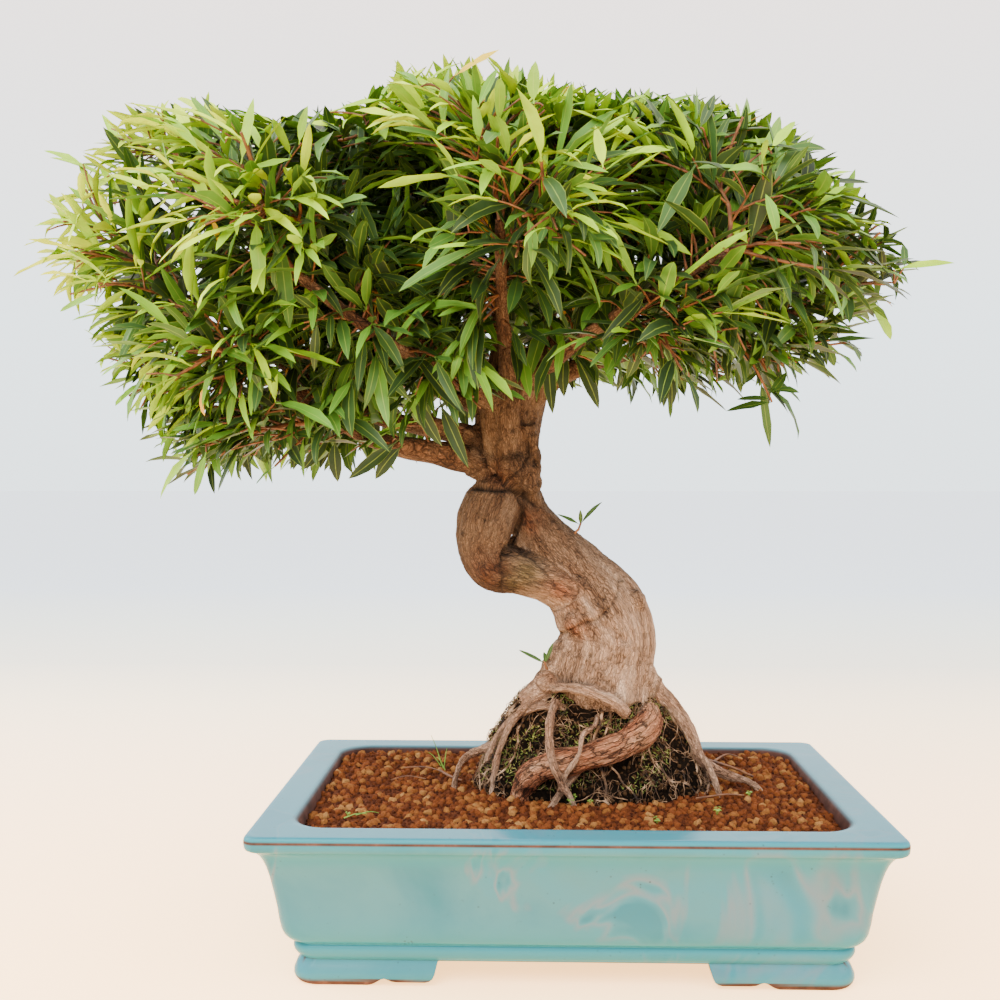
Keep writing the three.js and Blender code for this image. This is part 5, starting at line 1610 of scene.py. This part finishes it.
def placeLeaves(name, rows, tree, shapes, seed):
    piece = placeMesh(name, np.array([row[0] for row in rows]), [])
    turns, sizes = [], []
    for root, heading, facing, length, width, kind, tint, warm in rows:
        side = unit(np.cross(facing, heading))
        above = np.cross(heading, side)
        turns.append(Matrix(np.column_stack([heading, side, above]).tolist()).to_euler("XYZ"))
        sizes.append((length / leafForms["length"], width / leafForms["width"], length / leafForms["length"]))
    keepOn(piece.data, "turn", turns, "FLOAT_VECTOR")
    keepOn(piece.data, "size", sizes, "FLOAT_VECTOR")
    for column, (key, kind) in enumerate((("kind", "INT"), ("tint", "FLOAT"), ("warm", "FLOAT")), 5):
        keepOn(piece.data, key, [row[column] for row in rows], kind)
    return runNodes(piece, tree, Shapes=shapes, Seed=seed, Material=figLeaf)


def twigPiece(name, twigs, tree, material, spacing=11.0, sides=4):
    # every twig or root is one spline with its own thickness
    curve = bpy.data.curves.new(name, "CURVE")
    curve.dimensions = "3D"
    for line, first, last in twigs:
        count = max(3, int(lengthOf(line) / spacing))
        spots = inMetres(pointOn(line, np.linspace(0, 1, count + 1)))
        spline = curve.splines.new("POLY")
        spline.points.add(count)
        for i, spot in enumerate(spots):
            spline.points[i].co = (*spot, 1)
            spline.points[i].radius = first + (last - first) * i / count
    return runNodes(addObject(name, curve), tree, Sides=sides, Material=material)


def twigTree():
    # splines to tapered tubes with closed ends
    tree, add, given = newNodeGroup("twig_skin", Thickness=0.001, Sides=5, Material=bpy.types.Material)
    ring = add("GeometryNodeCurvePrimitiveCircle",
               {"Resolution": given["Sides"], "Radius": given["Thickness"]})
    radius = add("GeometryNodeInputRadius")
    tube = add("GeometryNodeCurveToMesh", {"Curve": given["Geometry"], "Profile Curve": ring,
                                           "Scale": radius, "Fill Caps": True})
    finishNodeGroup(add, tube, given["Material"])
    return tree


def makeFoliage(stems):
    shapes, placing, skin = leafShapes(), leafTree(), twigTree()
    bands = {}
    leaves = 0
    for number, stem in enumerate(stems):
        rows, twigs = [], []
        bushStem(stem, number, rows, twigs)
        leaves += len(rows)
        piece = placeLeaves(f"leaves_{number + 1:02d}", rows, placing, shapes, number)
        finishPiece(piece, "leaf", f"spray_{number + 1:02d}")
        bands.setdefault(number // 11, []).append((number, twigs))
    for band, members in bands.items():
        piece = twigPiece(f"twigs_{band + 1}", [twig for number, twigs in members for twig in twigs],
                          skin, twigBark)
        finishPiece(piece, "bark", *[f"spray_{number + 1:02d}" for number, twigs in members])
    print("leaves", leaves)
    grown = [twig for members in bands.values() for number, twigs in members for twig in twigs]
    return shapes, placing, skin, grown


trunkShoots = {
    "trunk_shoot_upper": ([[-12, 15, 264], [5, 10, 275], [9, 6, 283]],
                          [((-0.85, -0.2, 0.45), 19), ((0.6, -0.15, 0.8), 24), ((0.1, -0.5, 0.9), 12)]),
    "trunk_shoot_lower": ([[-2, 2, 172], [-14, -8, 180], [-17, -11, 187]],
                          [((0.35, -0.3, 0.9), 17), ((-0.9, -0.2, 0.5), 22), ((0.1, 0.5, 0.8), 10)]),
}


def bushLimbs():
    # short leafy twigs along the limbs fill the inside of the crown
    rows, twigs = [], []
    for number, (line, first, last) in enumerate(limbLines):
        curve = curveOf(line)
        for step in range(foliage["limbTwigs"]):
            seed = 20000 + number * 57.3 + step * 9.1
            place = 0.22 + 0.76 * (step + drawAt(seed)) / foliage["limbTwigs"]
            root, along = pointOn(curve, place), alongOf(curve, place)
            side = unit(np.cross(along, up + 0.1))
            angle = step * foliage["spiral"] + number
            out = side * math.cos(angle) + np.cross(side, along) * math.sin(angle)
            if step % 2:
                out[1] = -abs(out[1])
            length = foliage["limbTwigLeast"] + foliage["limbTwigRange"] * drawAt(seed + 0.4)
            end = root + unit(along * 0.6 + out) * length
            seen = seenAt(end)
            if outsideCrown(end)[0] > -10 or seen[2] < np.interp(seen[0], *zip(*crownBottom)) + 12:
                continue
            twig = curveOf([root, (root + end) / 2 + up * 2, end])
            twigs.append((twig, *foliage["sideThick"]))
            dressShoot(rows, twig, seed, 0.3, foliage["leafLeast"], foliage["leafRange"] * 0.8)
    ways = np.vstack([pointOn(curveOf(line), np.linspace(0.15, 1, 40)) for line, first, last in limbLines])
    boxes = [(np.array(low), np.array(high)) for count, low, high in foliage["fill"] for i in range(count)]
    for number, (low, high) in enumerate(boxes):
        seed = 30000 + number * 17.3
        end = low + (high - low) * [drawAt(seed), drawAt(seed + 0.31) ** 1.4, drawAt(seed + 0.67)]
        gaps = norm(ways - end, axis=1)
        if not 14 < gaps.min() < foliage["fillMost"] or outsideCrown(end)[0] > -16 or not inOutline(end, -14):
            continue
        root = ways[gaps.argmin()]
        twig = curveOf([root, (root + end) / 2 + up * 3 + outwardAt(end) * 2, end])
        twigs.append((twig, *foliage["thick"]))
        dressShoot(rows, twig, seed, 0.3, foliage["leafLeast"], foliage["leafRange"])
    return rows, twigs


# leaves that hang clear below the crown, each on a short stalk from the nearest limb:
# where the leaf starts and ends in the photo's frame, and its depth
hangingLeaves = [
    ((548, 348), (550, 415), -20), ((574, 352), (606, 408), -25), ((566, 350), (556, 398), -10),
    ((440, 402), (466, 470), -45), ((398, 440), (348, 484), -40), ((402, 446), (368, 476), -35),
    ((664, 352), (662, 408), -12), ((668, 352), (678, 408), -10), ((335, 440), (332, 484), -30),
    ((300, 425), (291, 470), -30), ((330, 432), (305, 474), -25), ((415, 395), (436, 452), -50),
]
# sprigs that hang or reach clear of the crown: the twig's course in the photo's frame with its depth,
# and each leaf's end
sprigs = [([(735, 335, -8), (752, 362, -12), (764, 385, -15), (772, 402, -16)],
           [(728, 408), (740, 398), (790, 372), (802, 385), (793, 408), (822, 424), (769, 445),
            (742, 384), (808, 398)]), ([(752, 318, -6), (775, 336, -8), (795, 344, -10), (818, 346, -10),
                                        (850, 342, -10)], [(864, 359), (862, 346), (836, 366), (828, 330),
                                                           (800, 362), (872, 336), (812, 332)]),
          ([(338, 366, -50), (308, 358, -62), (282, 350, -70), (262, 340, -74)],
           [(224, 322), (232, 342), (245, 330), (262, 356), (284, 332), (240, 352)]),]


# leaves that stand out from the crown: foot and tip in the photo's frame, tint and width
outstanding = [
    ((83, 164), (45, 148), 0.8, 6), ((107, 177), (46, 150), 0.85, 6), ((128, 164), (103, 104), 0.8, 7),
    ((201, 153), (163, 104), 0.75, 7), ((225, 143), (187, 90), 0.6, 7), ((241, 164), (254, 98), 0.8, 8),
    ((299, 145), (304, 104), 0.7, 6), ((330, 112), (408, 87), 0.85, 8), ((420, 87), (396, 61), 0.6, 8),
    ((423, 85), (458, 55), 0.9, 5), ((454, 76), (498, 49), 1.0, 8), ((478, 108), (495, 63), 0.6, 6),
    ((98, 226), (29, 213), 0.9, 6), ((116, 232), (58, 238), 0.8, 5), ((101, 292), (56, 311), 0.65, 6),
    ((141, 326), (102, 329), 0.4, 6), ((148, 348), (96, 374), 0.65, 7), ((146, 374), (116, 418), 0.5, 7),
    ((196, 448), (146, 497), 0.75, 8), ((206, 452), (195, 497), 0.55, 7), ((291, 247), (263, 271), 0.7, 11),
    ((307, 280), (317, 315), 0.65, 10), ((211, 214), (267, 221), 0.95, 6), ((210, 217), (224, 243), 1.0, 5),
    ((184, 177), (118, 165), 0.75, 7), ((240, 172), (290, 158), 0.7, 7), ((327, 178), (300, 238), 0.5, 8),
    ((770, 150), (799, 116), 0.85, 9), ((772, 154), (831, 136), 0.35, 8), ((812, 182), (852, 164), 0.9, 5),
    ((678, 140), (737, 131), 0.15, 10), ((894, 270), (956, 256), 0.85, 6), ((904, 268), (907, 240), 0.35, 6),
    ((872, 308), (899, 338), 0.75, 10), ((866, 246), (886, 231), 0.8, 8), ((603, 168), (598, 126), 0.9, 8),
    ((614, 156), (671, 142), 0.9, 7), ((777, 240), (773, 189), 0.6, 8), ((748, 244), (730, 216), 0.85, 10),
    ((752, 260), (772, 231), 0.85, 10), ((707, 204), (722, 170), 0.75, 9), ((534, 104), (530, 60), 0.75, 9),
    ((556, 122), (574, 82), 0.9, 7), ((462, 131), (453, 113), 0.8, 10), ((640, 118), (656, 95), 0.3, 8),
    ((700, 128), (716, 95), 0.25, 8), ((380, 250), (404, 290), 0.25, 10), ((416, 256), (428, 284), 0.3, 12),
    ((466, 218), (425, 232), 0.4, 9),
]


def standOut(rows, twigs):
    # each grows on a short stalk from the foremost twig near its foot
    ends = np.array([pointOn(line, share) for line, first, last in twigs for share in (0.4, 0.7, 1.0)])
    seen = np.array([photoPlace(spot) for spot in ends])
    for number, (foot, tip, tint, width) in enumerate(outstanding):
        gaps = norm(seen - foot, axis=1)
        nearest = (gaps + 0.25 * ends[:, 1]).argmin()
        root = spotAt(*foot, ends[nearest, 1] - 2)
        stalk = norm(root - ends[nearest])
        if stalk > foliage["stalkMost"]:
            continue
        end = spotAt(*tip, root[1] - 6 + 18 * drawAt(number * 1.9))
        if stalk > 2:
            twigs.append((curveOf([ends[nearest], (ends[nearest] + root) / 2 + up, root]),
                          *foliage["sideThick"]))
        facing = up * 0.8 + np.array([0.3 * (drawAt(number) - 0.5), -0.9, 0])
        rows.append((root, unit(end - root), facing, norm(end - root) * 1.05, width * 0.85, number % 5,
                     tint * 0.9, 0.6 if tint == 1.0 else 0.0))


def spotAt(x, y, depth):
    right, above, ahead = cameraAxes()
    ray = ahead + (right * (x - 500) + above * (500 - y)) / camera["focal"]
    eye = np.array(camera["at"])
    return eye + ray * (depth - eye[1]) / ray[1]


def hangLeaves(rows, twigs):
    ways = np.vstack([pointOn(curveOf(line), np.linspace(0.1, 1, 40)) for line, first, last in limbLines])
    for number, (start, end, depth) in enumerate(hangingLeaves):
        root, tip = spotAt(*start, depth), spotAt(*end, depth - 6)
        bough = ways[norm(ways - root, axis=1).argmin()]
        twigs.append((curveOf([bough, (bough + root) / 2 + up * 3, root]), *foliage["sideThick"]))
        facing = np.array([0.3 * (drawAt(number) - 0.5), -1, 0.3])
        rows.append((root, unit(tip - root), facing, norm(tip - root), 9.5, number % 3, 0.05, 0.0))
    for number, (way, tips) in enumerate(sprigs):
        spots = [spotAt(*spot) for spot in way]
        bough = ways[norm(ways - spots[0], axis=1).argmin()]
        twig = curveOf([bough] + spots)
        twigs.append((twig, 1.5, 0.9))
        for i, end in enumerate(tips):
            root = pointOn(twig, 1.0 - 0.5 * i / len(tips))
            tip = spotAt(*end, root[1] - 8 + 14 * drawAt(number * 20 + i))
            facing = up + np.array([0, -0.8, 0]) + 0.4 * (drawAt(i + 0.5) - 0.5)
            rows.append((root, unit(tip - root), facing, norm(tip - root) * 1.08, 6.5, (i + number) % 6,
                         0.32, 0.0))


def makeInnerFoliage(shapes, placing, skin, allTwigs):
    rows, twigs = bushLimbs()
    hangLeaves(rows, twigs)
    known = len(twigs)
    nearby = twigs + allTwigs
    standOut(rows, nearby)
    twigs += nearby[known + len(allTwigs):]
    half = len(rows) // 2
    for number, share in enumerate((rows[:half], rows[half:])):
        finishPiece(placeLeaves(f"leaves_inner_{number + 1}", share, placing, shapes, 90 + number), "leaf")
    finishPiece(twigPiece("twigs_inner", twigs, skin, twigBark), "bark")
    print("inner leaves", len(rows))


def makeTrunkShoots(shapes, placing, skin):
    for name, (line, leaves) in trunkShoots.items():
        curve = curveOf(line)
        rows = [(pointOn(curve, 0.9), unit(np.array(heading)), np.array([0, -0.7, 0.7]), length, 3.2, i,
                 0.22, 0.0) for i, (heading, length) in enumerate(leaves)]
        finishPiece(placeLeaves(name + "_leaves", rows, placing, shapes, 60), "leaf", name)
        finishPiece(twigPiece(name + "_stalk", [(curve, 1.3, 0.7)], skin, twigBark), "bark", name)


def makeFineRoots(surface, skin):
    # pale roots, thick and thin, that creep down and stand off the old soil
    roots = []
    for kind, (count, steps, least, most, wander, lift) in enumerate(ball["rootKinds"]):
        for number in range(count):
            seed = 9000 + kind * 5000 + number * 7.7
            angle = drawAt(seed) * 2 * math.pi
            height = 150 + 14 * drawAt(seed + 0.3) if kind == 0 else 92 + 74 * drawAt(seed + 0.3)
            spot = Vector(ballPoint(height, angle))
            fall = -0.8 if kind == 0 else drawAt(seed + 3) - 0.7
            course = Vector((drawAt(seed + 1) - 0.5, drawAt(seed + 2) - 0.5, fall)).normalized()
            # the finest grow in clumps
            if kind == 2 and noise.noise(spot * 0.045) < -0.12 + 0.3 * (drawAt(seed + 4) - 0.5):
                continue
            way = []
            for step in range(steps):
                found, normal, face, gap = surface.find_nearest(spot)
                if found is None or found.z < 88:
                    break
                rise = lift * (0.5 + abs(noise.noise(found * 0.2 + Vector((seed, 0, 0)))) * 2)
                way.append(np.array(found + normal * rise))
                bend = Vector([noise.noise(found * 0.14 + Vector((seed + k * 9, 0, 0))) for k in range(3)])
                course = (course + bend * wander - Vector((0, 0, 0.1))).normalized()
                course = (course - normal * course.dot(normal)).normalized()
                spot = found + course * ball["rootStep"]
            if len(way) > 4:
                thick = least + (most - least) * drawAt(seed + 0.6) ** 2
                roots.append((curveOf(way), thick, thick * 0.6))
    finishPiece(twigPiece("fine_roots", roots, skin, fineRoot, 3.5), "bark", "root_ball")


# roots and stalks that lie on the granules: thickness, and places in the photo's frame
surfaceRoots = [
    (1.5, [(686, 752), (697, 760), (710, 764), (732, 771), (753, 780)]),
    (0.9, [(712, 765), (726, 757), (738, 759)]),
    (0.8, [(696, 801), (710, 799), (727, 797), (744, 798)]),
    (0.5, [(706, 776), (709, 787), (704, 797)]),
    (0.6, [(404, 770), (424, 769), (440, 773), (455, 780)]),
    (0.9, [(440, 773), (450, 779), (462, 783)]),
    (0.5, [(391, 782), (408, 778), (426, 781)]),
]
# small weeds: clover-like sprouts, and blades of grass from foot to tip
sprouts = [(571, 805, 4.2), (590, 804, 3.4), (657, 824, 4.0), (717, 815, 5.0), (749, 797, 3.8),
           (575, 799, 3.0), (348, 816, 2.6)]
blades = [((443, 768), (431, 735)), ((441, 766), (428, 752)), ((444, 768), (447, 748)),
          ((445, 770), (437, 757)), ((356, 815), (379, 813)), ((344, 818), (367, 814))]


def soilSpot(x, y):
    # where a ray through a place in the photo's frame meets the granules
    for depth in np.arange(-108, 108, 0.5):
        spot = spotAt(x, y, depth)
        if spot[2] <= soilHeight(spot[0], spot[1]) + 1:
            return spot
    return spotAt(x, y, 100)


def makeGroundCover(skin):
    lines = [(curveOf([soilSpot(*place) + up * (1 + thick) for place in way]), thick, thick * 0.6)
             for thick, way in surfaceRoots]
    finishPiece(twigPiece("surface_roots", lines, skin, twigBark, 3.0, 7), "bark")
    parts = []
    for number, (x, y, size) in enumerate(sprouts):
        foot = soilSpot(x, y)
        for i in range(7):
            k = number * 13 + i * 1.7
            lean = np.array([drawAt(k) - 0.5, drawAt(k + 0.4) - 0.6, 0.9])
            tip = foot + unit(lean) * size * (0.7 + 0.5 * drawAt(k + 0.8))
            side = unit(np.cross(lean, [0.2, 1, 0.1])) * size * 0.3
            ahead = np.cross(side, unit(lean))
            parts.append((np.array([foot + [0.25, 0, 0], foot + [-0.15, 0.2, 0], foot + [-0.15, -0.2, 0],
                                    tip]), [(0, 2, 1), (0, 1, 3), (1, 2, 3), (2, 0, 3)]))
            # a rounded leaflet, slightly domed and closed below
            ring = [tip + side * math.cos(a) + ahead * math.sin(a) * 0.8 for a in np.arange(6) / 6 * 2
                    * math.pi]
            leaflet = np.array(ring + [tip + unit(lean) * 0.35, tip - unit(lean) * 0.15])
            faces = [(i, (i + 1) % 6, 6) for i in range(6)] + [((i + 1) % 6, i, 7) for i in range(6)]
            parts.append((leaflet, faces))
    piece = placeMesh("weeds", *joinedMeshes(parts))
    turnOutwards(piece.data)
    finishPiece(piece, "leaf", material=freshGreen)
    grass = []
    for start, end in blades:
        foot = soilSpot(*start)
        tip = spotAt(*end, foot[1])
        grass.append((curveOf([foot, foot * 0.4 + tip * 0.6 + up * 1.5, tip]), 0.45, 0.15))
    finishPiece(twigPiece("grass", grass, skin, freshGreen, 3.0), "leaf")


# soft lights: place, width and power
lamps = [("front_light", (-600, -1300, 1500), 1300, 45), ("left_light", (-1500, 100, 1300), 900, 26),
         ("right_light", (1500, -500, 1100), 900, 12)]


def makeStage():
    corners = np.array([(-1, -1, 0), (1, -1, 0), (1, 1, 0), (-1, 1, 0)])
    floor = placeMesh("studio_floor", corners * 20000.0, [(0, 1, 2, 3)])
    # painted light: the floor glows warm near the pot, a glow without a lamp that fades away from it
    paper, add = newMaterial("pale_paper", Roughness=0.9, Emission_Strength=3.2)
    far = add("SeparateXYZ", {0: add("TexCoord").outputs["Object"]})
    away = add("MapRange", {"Value": far.outputs[1], "From Min": -0.1, "From Max": 2.4})
    tone = add("ValToRGB", {0: away}, ramp=[(0.0, "#ffe0b8"), (0.35, "#fff9e2"), (0.7, "#e8f8f4"),
                                            (1.0, "#dcf1ff")])
    paintedFloorGlow = add("ValToRGB", {0: away}, ramp=[(0.0, "#ffc47c"), (0.5, "#000000")])
    feedShader(paper, Base_Color=tone, Emission_Color=paintedFloorGlow)
    floor.data.materials.append(paper)
    world = bpy.data.worlds.new("studio")
    world.use_nodes = True
    add = nodesIn(world.node_tree)
    high = add("SeparateXYZ", {0: add("TexCoord").outputs["Generated"]}).outputs["Z"]
    tone = add("ValToRGB", {0: high}, ramp=[(0.0, "#dfe9ee"), (0.12, "#e2eef3"), (0.4, "#fbece6")])
    sky = world.node_tree.nodes["Background"]
    world.node_tree.links.new(outputOf(tone), sky.inputs["Color"])
    sky.inputs["Strength"].default_value = 3.2
    bpy.context.scene.world = world
    for name, spot, size, power in lamps:
        light = bpy.data.lights.new(name, "AREA")
        light.energy = power
        light.size = size * mm
        lamp = addObject(name, light)
        lamp.location = inMetres(spot)
        aim = Vector(inMetres((0, 0, 300))) - lamp.location
        lamp.rotation_euler = aim.to_track_quat("-Z", "Y").to_euler()
    view = bpy.data.cameras.new("photo_camera")
    view.sensor_width = 36
    view.lens = camera["focal"] * 36 / camera["frame"]
    view.clip_start = 0.05
    eye = addObject("photo_camera", view)
    eye.location = inMetres(camera["at"])
    eye.rotation_euler = (math.radians(90 - camera["down"]), 0, math.radians(camera["left"]))
    bpy.context.scene.camera = eye


makeStage()
makePot()
makeScreens()
scatter = scatterTree("crumb_strewing")
makeSoil(scatter)
ballSurface = makeRootBall(scatter)
makeTrunk()
makeLimbs()
boxLow, boxHigh = (np.array(corner) / mm - potMiddle for corner in cadBox)
stems = growCrown()
shapes, placing, skin, crownTwigs = makeFoliage(stems)
makeInnerFoliage(shapes, placing, skin, crownTwigs)
makeTrunkShoots(shapes, placing, skin)
makeFineRoots(ballSurface, skin)
makeGroundCover(skin)
dropShapes(shapes)
